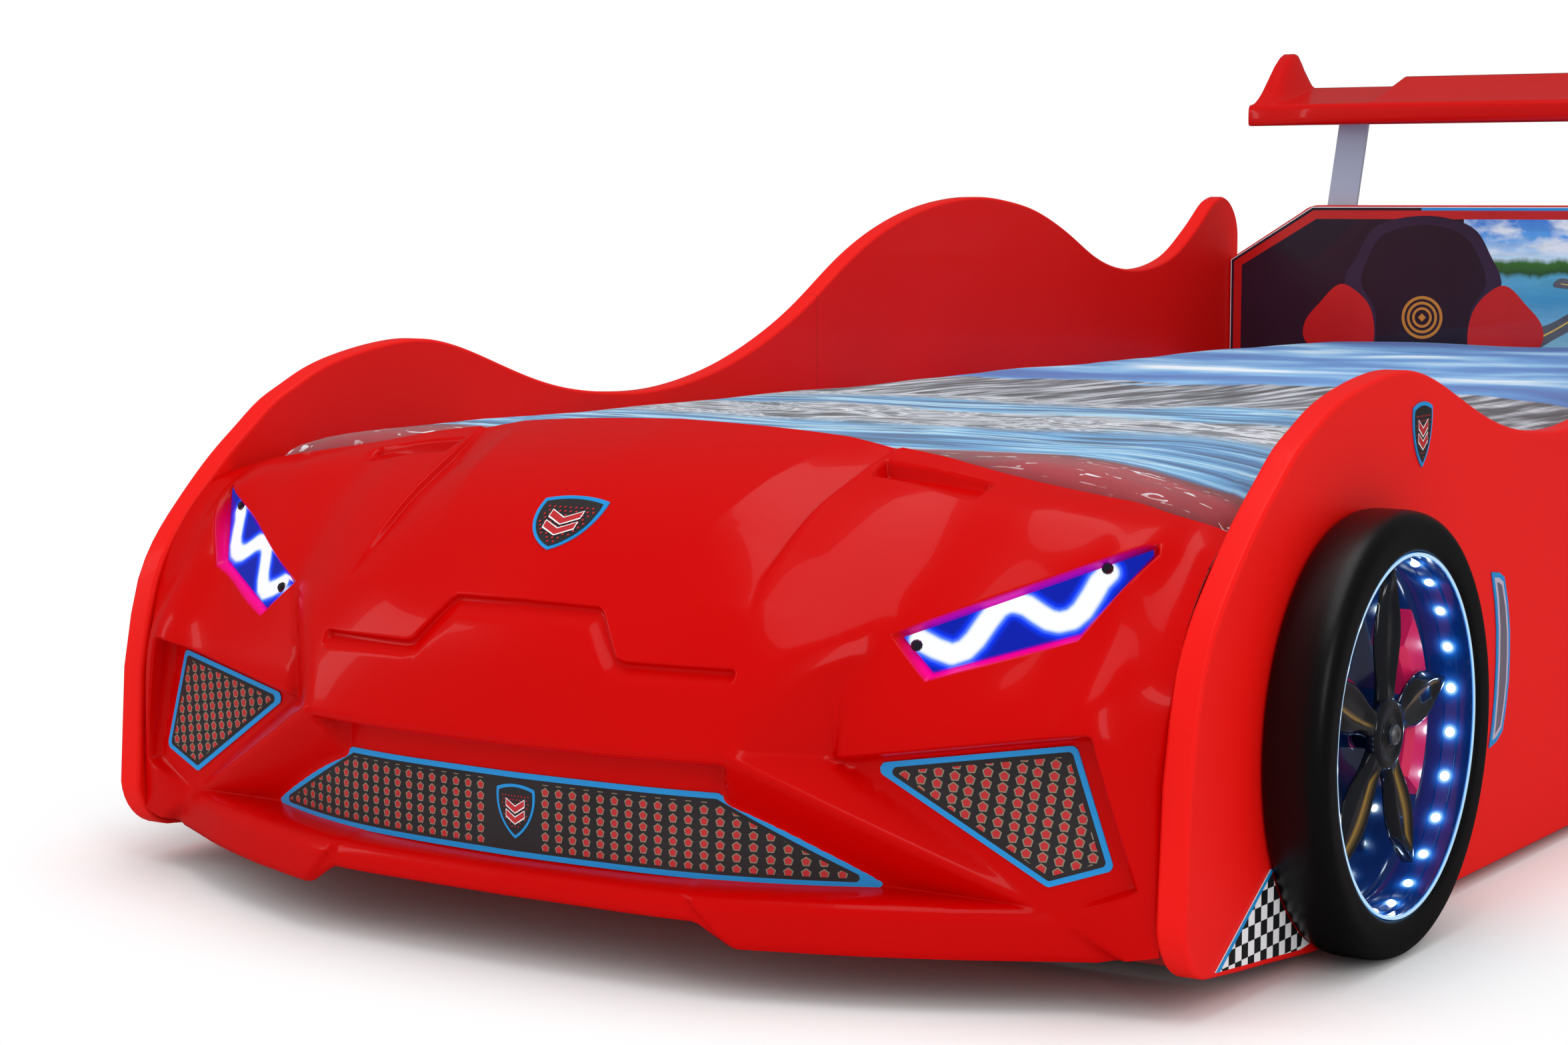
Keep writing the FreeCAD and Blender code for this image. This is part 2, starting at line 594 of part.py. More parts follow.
def led_ring():
    """Strip of short straight lengths along the dish's wall, one small lamp on each."""
    r = dim("wheel_opening") - GAP - 2.6 - 0.3
    n = int(dim("led_count"))
    corner = lambda q, i: Vector(q * math.cos(math.pi * (2 * i + 1) / n), q * math.sin(math.pi * (2 * i + 1) / n), 20)
    ring = lambda q: Part.Face(Part.makePolygon([corner(q, i) for i in range(n + 1)]))
    strip = ring(r).cut(ring(r - 1.4)).extrude(Vector(0, 0, 11))
    flat = (r - 1.4) * math.cos(math.pi / n)
    for i in range(n):
        chip = Part.makeBox(1.6, 5.0, 5.0, Vector(flat - 1.4, -2.5, 23.0))
        chip.rotate(Vector(0, 0, 0), Vector(0, 0, 1), 360.0 * i / n)
        strip = strip.fuse(chip)
    return strip


def calipers():
    """Two moulded brake calipers bolted on the dish, on the rear side of the wheel."""
    out = []
    t = dim("pan_thickness") + GAP
    for a0, a1 in ((14, 47), (-33, 0)):
        ring = turned([(74, t), (112, t), (112, t + 11), (104, t + 15), (80, t + 15), (74, t + 10)])
        wedge = Part.makePolygon([Vector(0, 0, 0)] + [Vector(220 * math.cos(math.radians(q)),
                                                             220 * math.sin(math.radians(q)), 0)
                                                      for q in (a0, (a0 + a1) / 2, a1)] + [Vector(0, 0, 0)])
        out.append(ring.common(Part.Face(wedge).extrude(Vector(0, 0, 40))))
    return Part.makeCompound(out)


def spoke():
    """One spoke: a curved leaf with a sunken middle between two ridges."""
    half = [(14, 12), (34, 11), (46, 14.5), (58, 19), (71, 20.5), (84, 19), (104, 12), (121, 4)]
    leaf = face_of([(x, y, 0) for x, y in half] + [(x, -y, 0) for x, y in reversed(half)]).extrude(Vector(0, 0, 9))
    mid = [(30, 3), (58, 8), (84, 8), (100, 4)]
    dent = face_of([(x, y, 6) for x, y in mid] + [(x, -y, 6) for x, y in reversed(mid)]).extrude(Vector(0, 0, 10))
    return leaf.cut(dent)


SPOKE_START = 84.0


def wheel_star():
    """Five-spoke star with a deep hub that turns on the centre bolt."""
    face = dim("wheel_depth") - dim("star_set_back")
    bore = dim("bolt_radius") + dim("running_gap")
    low = dim("pan_thickness") + 1.0
    hub = turned([(bore, low), (13, low), (13, face - 11), (dim("star_hub_radius"), face - 9),
                  (dim("star_hub_radius"), face - 2), (dim("star_hub_radius") - 3, face), (bore, face)])
    for i in range(5):
        leaf = spoke()
        leaf.translate(Vector(0, 0, face - 11))
        leaf.rotate(Vector(0, 0, 0), Vector(0, 0, 1), SPOKE_START + 72.0 * i)
        leaf = leaf.cut(Part.makeCylinder(bore + 3, 60))
        hub = hub.fuse(leaf)
    return hub.removeSplitter()


def wheel_bolt():
    face = dim("wheel_depth") - dim("star_set_back")
    r = dim("bolt_radius")
    body = turned([(0.0, -11), (r, -11), (r, face + 0.4), (7.5, face + 0.4), (7.5, face + 2.4), (6.0, face + 4.2),
                   (0.0, face + 4.2)])
    sides = [Vector(2.6 * math.cos(math.radians(60 * i)), 2.6 * math.sin(math.radians(60 * i)), face + 2.0)
             for i in range(7)]
    return body.cut(Part.Face(Part.makePolygon(sides)).extrude(Vector(0, 0, 8)))


pan, leds, brake, star, bolt = wheel_pan(), led_ring(), calipers(), wheel_star(), wheel_bolt()
bolts = []
for name, side, station in (("front_left", 1, "wheel_front_y"), ("front_right", -1, "wheel_front_y"),
                            ("rear_left", 1, "wheel_rear_y"), ("rear_right", -1, "wheel_rear_y")):
    place = wheel_frame(side, station)
    tyre_body(name + "_tyre", place)
    for part_name, shape in (("wheel_pan", pan), ("led_strip", leds), ("calipers", brake), ("wheel_star", star)):
        copy = shape.copy()
        copy.Placement = place
        feature(name + "_" + part_name, copy)
    copy = bolt.copy()
    copy.Placement = place
    bolts.append(copy)
feature("wheel_bolts", Part.makeCompound(bolts))

# ---------------------------------------------------------------- boards
TOP_LINE = [(0, 358), (97, 355), (190, 346), (266, 335), (345, 322), (405, 312), (460.4, 298)]
board = padded_body("front_board", "XZ_Plane",
                    [(-x, z) for x, z in reversed(TOP_LINE)] + TOP_LINE[1:] + [(460.4, 16), (-460.4, 16)],
                    "Dims.board_thickness", "-(Dims.front_board_y + Dims.y_shift + Dims.board_thickness)")
keep(board, "front_board")
hw, sx = HX - GAP, dim("head_shoulder_x")
head = padded_body("head_board", "XZ_Plane",
                   [(-hw, 20), (hw, 20), (hw, dim("head_side_top")), (sx, dim("head_top")),
                    (-sx, dim("head_top")), (-hw, dim("head_side_top"))],
                   "Dims.board_thickness", "-(Dims.head_board_y + Dims.y_shift + Dims.board_thickness)")
keep(head, "head_board")
pt = dim("print_thickness")
cover = padded_body("head_print", "XZ_Plane",
                    [(-hw + 2, 190), (hw - 2, 190), (hw - 2, dim("head_side_top") - 1),
                     (sx - 0.5, dim("head_top") - 2), (-sx + 0.5, dim("head_top") - 2),
                     (-hw + 2, dim("head_side_top") - 1)],
                    "Dims.print_thickness", "-(Dims.head_board_y + Dims.y_shift - Dims.seat_gap)")
keep(cover, "head_print")

# ---------------------------------------------------------------- bed base
inside0 = "Dims.front_board_y + Dims.board_thickness + Dims.y_shift + Dims.seat_gap"
inside_len = "Dims.head_board_y - Dims.front_board_y - Dims.board_thickness - 2 * Dims.seat_gap"
rail_z = "Dims.slat_top - Dims.slat_thickness - Dims.seat_gap - Dims.rail_height"
keep(bound_box("left_rail", "Dims.rail_width", inside_len, "Dims.rail_height",
               "Dims.inner_width / 2 - Dims.rail_width - Dims.seat_gap", inside0, rail_z), "left_rail")
keep(bound_box("right_rail", "Dims.rail_width", inside_len, "Dims.rail_height",
               "-Dims.inner_width / 2 + Dims.seat_gap", inside0, rail_z), "right_rail")
beam_z = "Dims.slat_top - Dims.slat_thickness - Dims.seat_gap - Dims.beam_height"
keep(bound_box("centre_beam", "Dims.beam_width", inside_len, "Dims.beam_height",
               "-Dims.beam_width / 2", inside0, beam_z), "centre_beam")
legs = [bound_box("leg_%d" % i, "Dims.beam_width", "Dims.beam_width", beam_z + " - Dims.seat_gap",
                  "-Dims.beam_width / 2", "%g" % (y + YS), "0") for i, y in enumerate((880.0, 1580.0))]
compound("centre_legs", legs)
slats = []
count = int(dim("slat_count"))
first, last = 262.0, 2246.0 - 32.0 - dim("slat_width")
for i in range(count):
    y = first + (last - first) * i / (count - 1)
    slats.append(bound_box("slat_%d" % i, "Dims.inner_width - 12", "Dims.slat_width", "Dims.slat_thickness",
                           "-Dims.inner_width / 2 + 6", "%g" % (y + YS), "Dims.slat_top - Dims.slat_thickness"))
compound("slats", slats)
pads = []
for side in (1, -1):
    for i, y in enumerate((420.0, 950.0, 1500.0, 2200.0)):
        pads.append(bound_cylinder("glide_%d_%d" % (side + 1, i), "Dims.panel_thickness / 2 - 1",
                                   "Dims.panel_bottom - Dims.seat_gap",
                                   (side * (HX + PT / 2), y + YS, 0), (0, 0, 1)))
compound("floor_glides", pads)


def hex_head(radius, height, at, out):
    """Hexagonal screw head standing on a point."""
    pts = [Vector(radius * math.cos(math.radians(60 * i)), radius * math.sin(math.radians(60 * i)), 0)
           for i in range(7)]
    solid = Part.Face(Part.makePolygon(pts)).extrude(Vector(0, 0, height))
    solid.Placement = Placement(at, Rotation(Vector(0, 0, 1), out))
    return solid


def bracket(side, y, toward):
    """Steel angle joining a cross board to a side panel."""
    x = side * (HX - GAP)
    pts = [(x, y), (x - side * 34, y), (x - side * 34, y + toward * 2.5), (x - side * 2.5, y + toward * 2.5),
           (x - side * 2.5, y + toward * 34), (x, y + toward * 34)]
    solid = face_of([(a, b + YS, 45.0) for a, b in pts]).extrude(Vector(0, 0, 70))
    heads = []
    for z in (62.0, 98.0):
        a = hex_head(4.5, 3.0, Vector(x - side * 20, y + YS + toward * 2.8, z), Vector(0, toward, 0))
        b = hex_head(4.5, 3.0, Vector(x - side * 2.8, y + YS + toward * 20, z), Vector(-side, 0, 0))
        heads += [a, b]
    return solid, heads


made = [bracket(s, y, t) for s in (1, -1) for y, t in ((230.3, 1), (2245.7, -1))]
feature("corner_brackets", Part.makeCompound([m[0] for m in made]))
feature("bracket_screws", Part.makeCompound([h for m in made for h in m[1]]))
rail_heads = []
for side in (1, -1):
    for i in range(6):
        y = 330.0 + i * 364.0
        rail_heads.append(hex_head(5.0, 3.5, Vector(side * (HX - dim("rail_width") - 2 * GAP), y + YS, 152.0),
                                   Vector(-side, 0, 0)))
feature("rail_screws", Part.makeCompound(rail_heads))
keep(bound_box("light_control_box", "96", "28", "54", "-48",
               "Dims.front_board_y + Dims.board_thickness + Dims.y_shift + Dims.seat_gap", "40"),
     "light_control_box")

# ---------------------------------------------------------------- mattress and bedspread
MID = (230.0 + 2246.0) / 2


def rounded_wire(width, length, radius, z):
    """A rectangle whose corners are cut in four short steps of an arc."""
    pts = []
    for sx, sy, start in ((1, 1, 0), (-1, 1, 90), (-1, -1, 180), (1, -1, 270)):
        cx, cy = sx * (width / 2 - radius), sy * (length / 2 - radius)
        pts += [Vector(cx + radius * math.cos(math.radians(start + q)), MID + YS + cy + radius
                       * math.sin(math.radians(start + q)), z) for q in (0, 22.5, 45, 67.5, 90)]
    return Part.makePolygon(pts + [pts[0]])


def cushion(grow, z0, z1, radius):
    """Soft block with drawn-in upper and lower edges."""
    w, l = dim("mattress_width") + 2 * grow, dim("mattress_length") + 2 * grow
    rows = [(0.0, 22), (0.08, 6), (0.3, 0), (0.7, 0), (0.93, 5), (1.0, 18)]
    wires = [rounded_wire(w - 2 * d, l - 2 * d, radius, z0 + (z1 - z0) * t) for t, d in rows]
    return Part.makeLoft(wires, True, True)


bottom = dim("slat_top") + GAP
top = bottom + dim("mattress_thickness")
mattress = cushion(0.0, bottom, top, 45.0)
feature("mattress", mattress)
th = dim("spread_thickness")
skin = cushion(th + 3 * GAP, bottom, top + th + 3 * GAP, 50.0)
hollow = cushion(3 * GAP, bottom - 1.0, top + 3 * GAP, 46.0)
drop = Part.makeBox(1200, 3000, dim("spread_drop") + 40, Vector(-600, -1500, top - dim("spread_drop")))
trim = Part.makeBox(1200, dim("mattress_length") - 0.2, 800, Vector(-600, MID + YS - dim("mattress_length") / 2 + 0.1, 0))
spread = skin.cut(hollow).common(drop).common(trim)
feature("bedspread", sorted(spread.Solids, key=lambda q: -q.Volume)[0])


# ---------------------------------------------------------------- rear spoiler
def wing_section(x, rise, nose):
    """One closed section of the wing: front band, sloping top, thin tail."""
    y0, y1, z0 = dim("wing_front_y") + nose, dim("wing_rear_y"), dim("wing_bottom")
    pts = [(y0, z0 + 3), (y0, z0 + 26), (y0 + 8, z0 + 29), (y0 + 70, z0 + 29 + rise * 0.5), (y1, z0 + 29 + rise),
           (y1, z0 + 20 + rise), (y0 + 75, z0 + 10 + rise * 0.3), (y0 + 4, z0)]
    return Part.makePolygon([Vector(x, y + YS, z) for y, z in pts + [pts[0]]])


def winglet(side):
    """Upturned end: a fin that thins towards its top and leans inwards."""
    z0 = dim("wing_bottom")
    prof = lambda x, k: Part.makePolygon([Vector(side * x, y + YS, z) for y, z in (
        (2222 + k, z0 + 18), (2345, z0 + 30), (2345, z0 + 82 - k), (2334, z0 + 98 - k), (2322, z0 + 104 - k),
        (2300, z0 + 96 - k), (2268 + k, z0 + 66 - k), (2222 + k, z0 + 18))])
    return Part.makeLoft([prof(dim("wing_half_width") - 1, 0), prof(dim("wing_half_width") - 22, 6)], True, True)


wing_rows = [(0, 38, 0), (150, 38, 0), (252, 37, 0), (268, 25, 1), (360, 24, 4), (429.5, 27, 14)]
rows = [(-x, r, n) for x, r, n in reversed(wing_rows) if x] + wing_rows
wing = Part.makeLoft([wing_section(*r) for r in rows], True, True)
for side in (1, -1):
    wing = wing.fuse(winglet(side))
feature("spoiler_wing", wing.removeSplitter())


def strut(side):
    """Flat bar behind the head board that leans inwards and carries the wing."""
    t, w = dim("strut_thickness"), dim("strut_width")
    y = dim("head_board_y") + dim("board_thickness") + GAP + YS
    lean = lambda z: 330.0 - (z - 545.0) * 0.135
    low, high = 400.0, dim("wing_bottom") + 24.0
    bar = face_of([(side * (lean(low) - w), y, low), (side * lean(low), y, low),
                   (side * lean(high), y, high), (side * (lean(high) - w), y, high)]).extrude(Vector(0, t, 0))
    lowered = wing.copy()
    lowered.translate(Vector(0, 0, -GAP))
    return sorted(bar.cut(lowered).Solids, key=lambda q: -q.Volume)[0]


feature("left_strut", strut(1))
feature("right_strut", strut(-1))
heads = []
for side in (1, -1):
    for z in (425.0, 500.0):
        x = side * (330.0 - (z - 545.0) * 0.135 - dim("strut_width") / 2)
        y = dim("head_board_y") + dim("board_thickness") + dim("strut_thickness") + 2 * GAP + YS
        heads.append(Part.makeCylinder(6.5, 4.0, Vector(x, y, z), Vector(0, 1, 0)))
feature("strut_screws", Part.makeCompound(heads))

# ---------------------------------------------------------------- output
doc.recompute()
for obj in doc.Objects:
    if "Invalid" in obj.State or "Error" in obj.State:
        raise RuntimeError("%s is %s" % (obj.Name, obj.State))
for label, obj in NODES:
    shape = obj.Shape
    if shape.isNull() or not shape.isValid():
        raise RuntimeError("bad shape: " + label)
    shape.exportStep("parts/%s.step" % label)
    b = shape.BoundBox
    print("%-24s %2d  x %.1f %.1f  y %.1f %.1f  z %.1f %.1f" % (label, len(shape.Solids), b.XMin, b.XMax,
                                                               b.YMin, b.YMax, b.ZMin, b.ZMax))
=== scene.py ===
import math
import bpy
import numpy as np
from mathutils import Matrix, Vector
from mathutils.geometry import delaunay_2d_cdt


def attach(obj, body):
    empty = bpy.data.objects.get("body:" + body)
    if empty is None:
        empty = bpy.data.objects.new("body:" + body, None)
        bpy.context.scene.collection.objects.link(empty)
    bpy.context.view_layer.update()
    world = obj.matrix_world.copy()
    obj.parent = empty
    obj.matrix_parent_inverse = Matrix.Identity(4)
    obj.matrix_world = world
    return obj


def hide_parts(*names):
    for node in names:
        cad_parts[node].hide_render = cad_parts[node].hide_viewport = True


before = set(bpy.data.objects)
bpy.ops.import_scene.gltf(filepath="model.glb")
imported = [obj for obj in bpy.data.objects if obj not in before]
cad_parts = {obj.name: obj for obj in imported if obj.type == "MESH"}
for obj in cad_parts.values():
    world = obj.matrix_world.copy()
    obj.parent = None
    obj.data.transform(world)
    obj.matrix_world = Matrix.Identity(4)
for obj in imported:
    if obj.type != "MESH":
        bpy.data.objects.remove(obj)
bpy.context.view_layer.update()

# ------------------------------------------------------------------ front bumper and bonnet
# One vacuum-formed shell of glossy red plastic between the two side panels. All its edges are
# rounded by the moulding: nose, splitter lip, slanting ribs, side intakes, lamp recesses,
# bonnet creases, a hat-shaped shut line and two small vents at the rear edge.
DATUM = -1169.0          # station 0, just behind the tip of the lip, in mm of the frame
SHELL_HALF = 464.7       # half width of the shell, mm
SHELL_WALL = 3.2
CHIN = 53.0              # lower edge in the middle
NOSE_LINE = 170.0        # height from which the sections run up to the bonnet
REAR_TOP = 383.5         # bonnet's height at its rear edge, in the middle


def spline(at, values, query):
    """Natural cubic spline: piecewise cubics whose second derivatives solve the usual
    tridiagonal system; beyond its ends the curve goes on straight."""
    at, values = np.asarray(at, float), np.asarray(values, float)
    flat = values.ndim == 1
    v = values[:, None] if flat else values
    n, step = len(at), np.diff(at)[:, None]
    system, right = np.eye(n), np.zeros_like(v)
    for i in range(1, n - 1):
        system[i, i - 1:i + 2] = step[i - 1, 0], 2 * (step[i - 1, 0] + step[i, 0]), step[i, 0]
        right[i] = 6 * ((v[i + 1] - v[i]) / step[i] - (v[i] - v[i - 1]) / step[i - 1])
    m = np.linalg.solve(system, right)
    query = np.asarray(query, float)
    inside = np.clip(query, at[0], at[-1])
    i = np.clip(np.searchsorted(at, inside) - 1, 0, n - 2)
    a, b, h = (inside - at[i])[:, None], (at[i + 1] - inside)[:, None], step[i]
    before, after = (v[i] / h - m[i] * h / 6) * b, (v[i + 1] / h - m[i + 1] * h / 6) * a
    out = (m[i] * b ** 3 + m[i + 1] * a ** 3) / (6 * h) + before + after
    low = (v[1] - v[0]) / step[0] - step[0] * (2 * m[0] + m[1]) / 6
    high = (v[-1] - v[-2]) / step[-1] + step[-1] * (m[-2] + 2 * m[-1]) / 6
    out = out + np.minimum(query - at[0], 0)[:, None] * low + np.maximum(query - at[-1], 0)[:, None] * high
    return out[:, 0] if flat else out


def soft_min(a, b, k):
    """The smaller of two values, with the corner between them rounded over a width k."""
    h = np.clip(0.5 + 0.5 * (b - a) / k, 0, 1)
    return b + (a - b) * h - k * h * (1 - h)


def soft_max(a, b, k):
    return -soft_min(-a, -b, k)


def ease(t):
    """0 below 0, 1 above 1, and 3t^2 - 2t^3 between."""
    t = np.clip(t, 0, 1)
    return t * t * (3 - 2 * t)


# Rear edge of the bonnet as (distance from the middle, height).
REAR_EDGE = [(0, REAR_TOP), (97, 380), (156, 375.5), (210, 369.5), (262, 360), (311, 351), (357, 344), (405, 336),
             (465, 321)]
# Lengthwise sections as (station, height), keyed by their distance from the middle.
NOSE = {
    0: [(-4, 165), (0, 192), (8.5, 226), (30, 262.4), (76, 315.4), (145, 357), (230, 383.5)],
    95: [(-1.5, 166), (3.5, 192), (13.4, 226), (36, 262), (82, 313), (148, 353), (230, 380)],
    188: [(7.8, 169), (14, 193), (27, 226.5), (53, 266), (98, 310), (155, 345), (230, 371.5)],
    266: [(30, 170), (40, 196), (58, 227), (84, 252), (125, 298), (172, 334), (230, 360)],
    345: [(74, 172), (86, 200), (102, 228), (128, 262), (160, 305), (190, 333), (230, 346)],
}
FLANK = {
    235: [(66, 62), (62, 100), (54, 150), (53, 172), (64, 212), (86, 250), (120, 288), (172, 330), (230, 365)],
    300: [(80, 62), (76, 100), (70, 150), (68, 178), (84, 226), (104, 264), (137, 300), (182, 335), (230, 353)],
    336: [(90, 62), (87, 100), (80, 150), (77, 184), (103, 238), (128, 281), (153, 308), (186, 334), (230, 347)],
    390: [(104, 62), (101, 100), (93, 150), (88, 193), (133, 254), (161, 304), (178, 318), (200, 330), (230, 338)],
    421: [(106, 62), (102, 100), (94, 150), (90, 197), (138, 260), (180, 313), (194, 320), (210, 327), (230, 333)],
    443: [(110, 62), (104, 100), (100, 150), (105, 195), (137, 246), (167, 285), (190, 304), (210, 317), (230, 326)],
    465: [(119, 62), (119.7, 108), (123.4, 153), (128.3, 190), (138, 231), (160, 272), (184, 299), (206, 314),
          (230, 321)],
}
LIP = [(0, -7), (90, -4.5), (150, -1), (187, 6), (231, 21), (271, 36), (309, 53), (346, 71.5), (380, 91),
       (415, 111), (445, 127), (465, 136)]
GRILLE = [(0, 20), (83, 23.8), (166, 35), (240, 60), (288, 82), (330, 103)]
LEVELS = np.arange(40.0, 392.0, 0.5)


def rear_height(x):
    return spline(*zip(*REAR_EDGE), np.abs(x))


def level(x, z):
    """Height stretched above the nose line so that the rear edge lies at the same level everywhere."""
    stretch = (REAR_TOP - NOSE_LINE) / (rear_height(x) - NOSE_LINE)
    return np.where(z < NOSE_LINE, z, NOSE_LINE + (z - NOSE_LINE) * stretch)


def height(x, q):
    """Inverse of level."""
    shrink = (rear_height(x) - NOSE_LINE) / (REAR_TOP - NOSE_LINE)
    return np.where(q < NOSE_LINE, q, NOSE_LINE + (q - NOSE_LINE) * shrink)


def skin(sections, both_sides):
    """Station over (distance, level): each section is a spline over its chord, then a spline
    joins the sections at every level."""
    xs, rows = sorted(sections), []
    for x in xs:
        pts = np.array(sections[x], float)
        chord = np.append(0, np.cumsum(np.hypot(*np.diff(pts, axis=0).T)))
        s = np.linspace(-30, chord[-1] + 20, 600)
        y, z = spline(chord, pts, s).T
        keep = np.append(True, np.diff(np.maximum.accumulate(z)) > 1e-9)
        rows.append(np.interp(LEVELS, level(np.full(keep.sum(), float(x)), z[keep]), y[keep]))
    if both_sides:
        xs, rows = [-x for x in xs[:0:-1]] + xs, rows[:0:-1] + rows
    return spline(xs, np.array(rows), np.arange(0, 467.0))


NOSE_SKIN, FLANK_SKIN = skin(NOSE, True), skin(FLANK, False)


def read(table, x, q):
    """Bilinear reading of a skin table."""
    u, v = np.clip(x, 0, 465.99), np.clip((q - LEVELS[0]) * 2, 0, len(LEVELS) - 1.01)
    i, j = u.astype(int), v.astype(int)
    fu, fv = u - i, v - j
    return ((table[i, j] * (1 - fu) + table[i + 1, j] * fu) * (1 - fv)
            + (table[i, j + 1] * (1 - fu) + table[i + 1, j + 1] * fu) * fv)


def inside_distance(corners, x, z):
    """Distance to the outline of a polygon, positive inside."""
    p = np.array(corners, float)
    best, odd = np.full(np.shape(x), 1e9), np.zeros(np.shape(x), bool)
    for (ax, az), (bx, bz) in zip(p, np.roll(p, -1, axis=0)):
        t = np.clip(((x - ax) * (bx - ax) + (z - az) * (bz - az)) / ((bx - ax) ** 2 + (bz - az) ** 2), 0, 1)
        best = np.minimum(best, np.hypot(x - ax - t * (bx - ax), z - az - t * (bz - az)))
        crosses = (az > z) != (bz > z)
        odd ^= crosses & (x < (bx - ax) * (z - az) / np.where(bz == az, 1e-9, bz - az) + ax)
    return np.where(odd, best, -best)


def line_distance(line, x, z):
    """Distance to an open polyline, positive above it, and the length along it."""
    p = np.array(line, float)
    best, side, along, run = np.full(np.shape(x), 1e9), np.zeros(np.shape(x)), np.zeros(np.shape(x)), 0.0
    for i, (a, b) in enumerate(zip(p[:-1], p[1:])):
        d, size = b - a, math.hypot(*(b - a))
        t = ((x - a[0]) * d[0] + (z - a[1]) * d[1]) / size ** 2
        u = np.clip(t, 0 if i else -1e9, 1 if i < len(p) - 2 else 1e9)
        gap = np.hypot(x - a[0] - u * d[0], z - a[1] - u * d[1])
        near = gap < best
        best = np.where(near, gap, best)
        side = np.where(near, np.sign(d[0] * (z - a[1]) - d[1] * (x - a[0])), side)
        along = np.where(near, run + u * size, along)
        run += size
    return best * side, along


LAMP = [(270.8, 252.8), (426.5, 318.8), (430.0, 309.0), (394.0, 253.0), (303.0, 224.0)]
LAMP_DEEP, LAMP_DRAFT = 11.0, 4.5
INTAKE = [(226, 167), (421.5, 197.5), (427, 196), (455, 89), (400, 68), (330, 60), (196, 150)]
SHUT_LINE = [(0, 265), (64, 264), (70, 260.5), (93, 231.5), (99, 230), (186, 230)]
CREASE_OUT = [(30, 187), (55, 180), (74, 176), (100, 177), (145, 178), (185, 183), (235, 192)]
CREASE_IN = [(30, 74), (36, 77), (54, 91), (75, 106), (98, 118), (137, 130), (160, 135), (235, 152)]
RIB_START, RIB_DIR, RIB_LENGTH = (190.0, 170.0), (0.8927, -0.4507), 230.8


def lamp_plane(x, z, depth):
    return 83.8 + (0.336 * (x - 303.7) + 0.456 * (z - 228.7) + depth) / 0.825


def intake_plane(x, z):
    return 72.9 + (0.2446 * (x - 264.3) + 0.0193 * (z - 164.6)) / 0.9694


def chin_height(x):
    return np.interp(np.abs(x), [0, 164, 190, 420, 465], [53, 53, 37, 37, 46])


def across_rib(x, z):
    """Length along the rib's crest and distance across it, positive towards the side intake."""
    dx, dz = x - RIB_START[0], z - RIB_START[1]
    return dx * RIB_DIR[0] + dz * RIB_DIR[1], -dx * RIB_DIR[1] + dz * RIB_DIR[0]


def flank_at(x, q):
    """Station of the flank, which turns away to the rear towards the middle."""
    return read(FLANK_SKIN, np.maximum(x, 225.0), q) + 1.2 * np.maximum(250 - x, 0)


def front_parts(x, z):
    """Station of the shell's face over (distance from the middle, height), as two parts: the
    foremost of the nose with its fold, the flank, the rib and the grille's floor, less the
    recesses, and the lip."""
    x = np.abs(x)
    q = level(x, z)
    fold = 7.8 + 1.0383 * (x - 190) - 0.0331 * (z - 170) + 28.8 * (np.maximum(z - 252, 0) / 85.7) ** 2
    nose = soft_max(read(NOSE_SKIN, x, q), fold, np.interp(z, [165, 190, 252, 340], [5, 12, 18, 14]))
    under, r = np.interp(x, [0, 95, 188], [161.5, 162, 164]), 9.0
    turn = np.clip((under + r - z) / r, 0, 0.985)
    nose = nose + r * (1 - np.sqrt(1 - turn ** 2)) + np.maximum(under - z, 0) * 7
    along, across = across_rib(x, z)
    flank = flank_at(x, q) + 2.0 * np.maximum(-across - 1, 0) * (z < 175)
    body = soft_min(nose, flank, 7)
    d = inside_distance(LAMP, x, z)
    body = body + (ease(d / LAMP_DRAFT * 0.8 + 0.1)) * np.maximum(lamp_plane(x, z, LAMP_DEEP) - body, 0)
    d = inside_distance(INTAKE, x, z)
    draft = np.interp(x - 0.26 * (197 - z), [420, 432], [7, 15])
    body = body + ease(d / draft) * np.maximum(intake_plane(x, z) - body, 0)
    floor = spline(*zip(*GRILLE), x.ravel()).reshape(x.shape)
    floor = floor + 2.0 * np.maximum(across + 3, 0) + 10 * np.maximum(z - 163, 0)
    crest = 7.8 + 98.2 / RIB_LENGTH * np.maximum(along, 0)
    crest = crest + 1.4 * np.maximum(-along, 0) + 1.0 * np.maximum(along - 222, 0)
    outer = np.interp(along, [0, 42, 69, 142, 215, 231], [1.7, 1.8, 1.9, 1.6, 1.0, 0.6])
    inner = np.interp(along, [-8, 0, 70, 130], [0.85, 0.75, 0.6, 0.52])
    rib = crest + np.where(across > 0, outer, inner) * (np.sqrt(across ** 2 + 12) - 3.46)
    shell = soft_min(soft_min(body, floor, 5), rib, 5)
    top = np.interp(x, [0, 380, 430, 465], [74.5, 74.5, 70, 62])
    chin = chin_height(x)
    roll = np.clip((z - top + 13) / 13, 0, 0.985)
    tuck = np.clip((chin + 5 - z) / 5, 0, 0.97)
    lip = spline(*zip(*LIP), x.ravel()).reshape(x.shape) + 13 * (1 - np.sqrt(1 - roll ** 2))
    lip = lip + 5 * (1 - np.sqrt(1 - tuck ** 2)) + 6.5 * np.maximum(z - top, 0)
    lip = lip + 4.0 * (1 - ease((x + z - 226) / 7)) + 3.0 * ease((x - 440) / 25)
    return shell, lip


def front(x, z):
    """Station of the shell: the foremost of its two parts, with the corner between rounded."""
    return soft_min(*front_parts(x, z), 4)


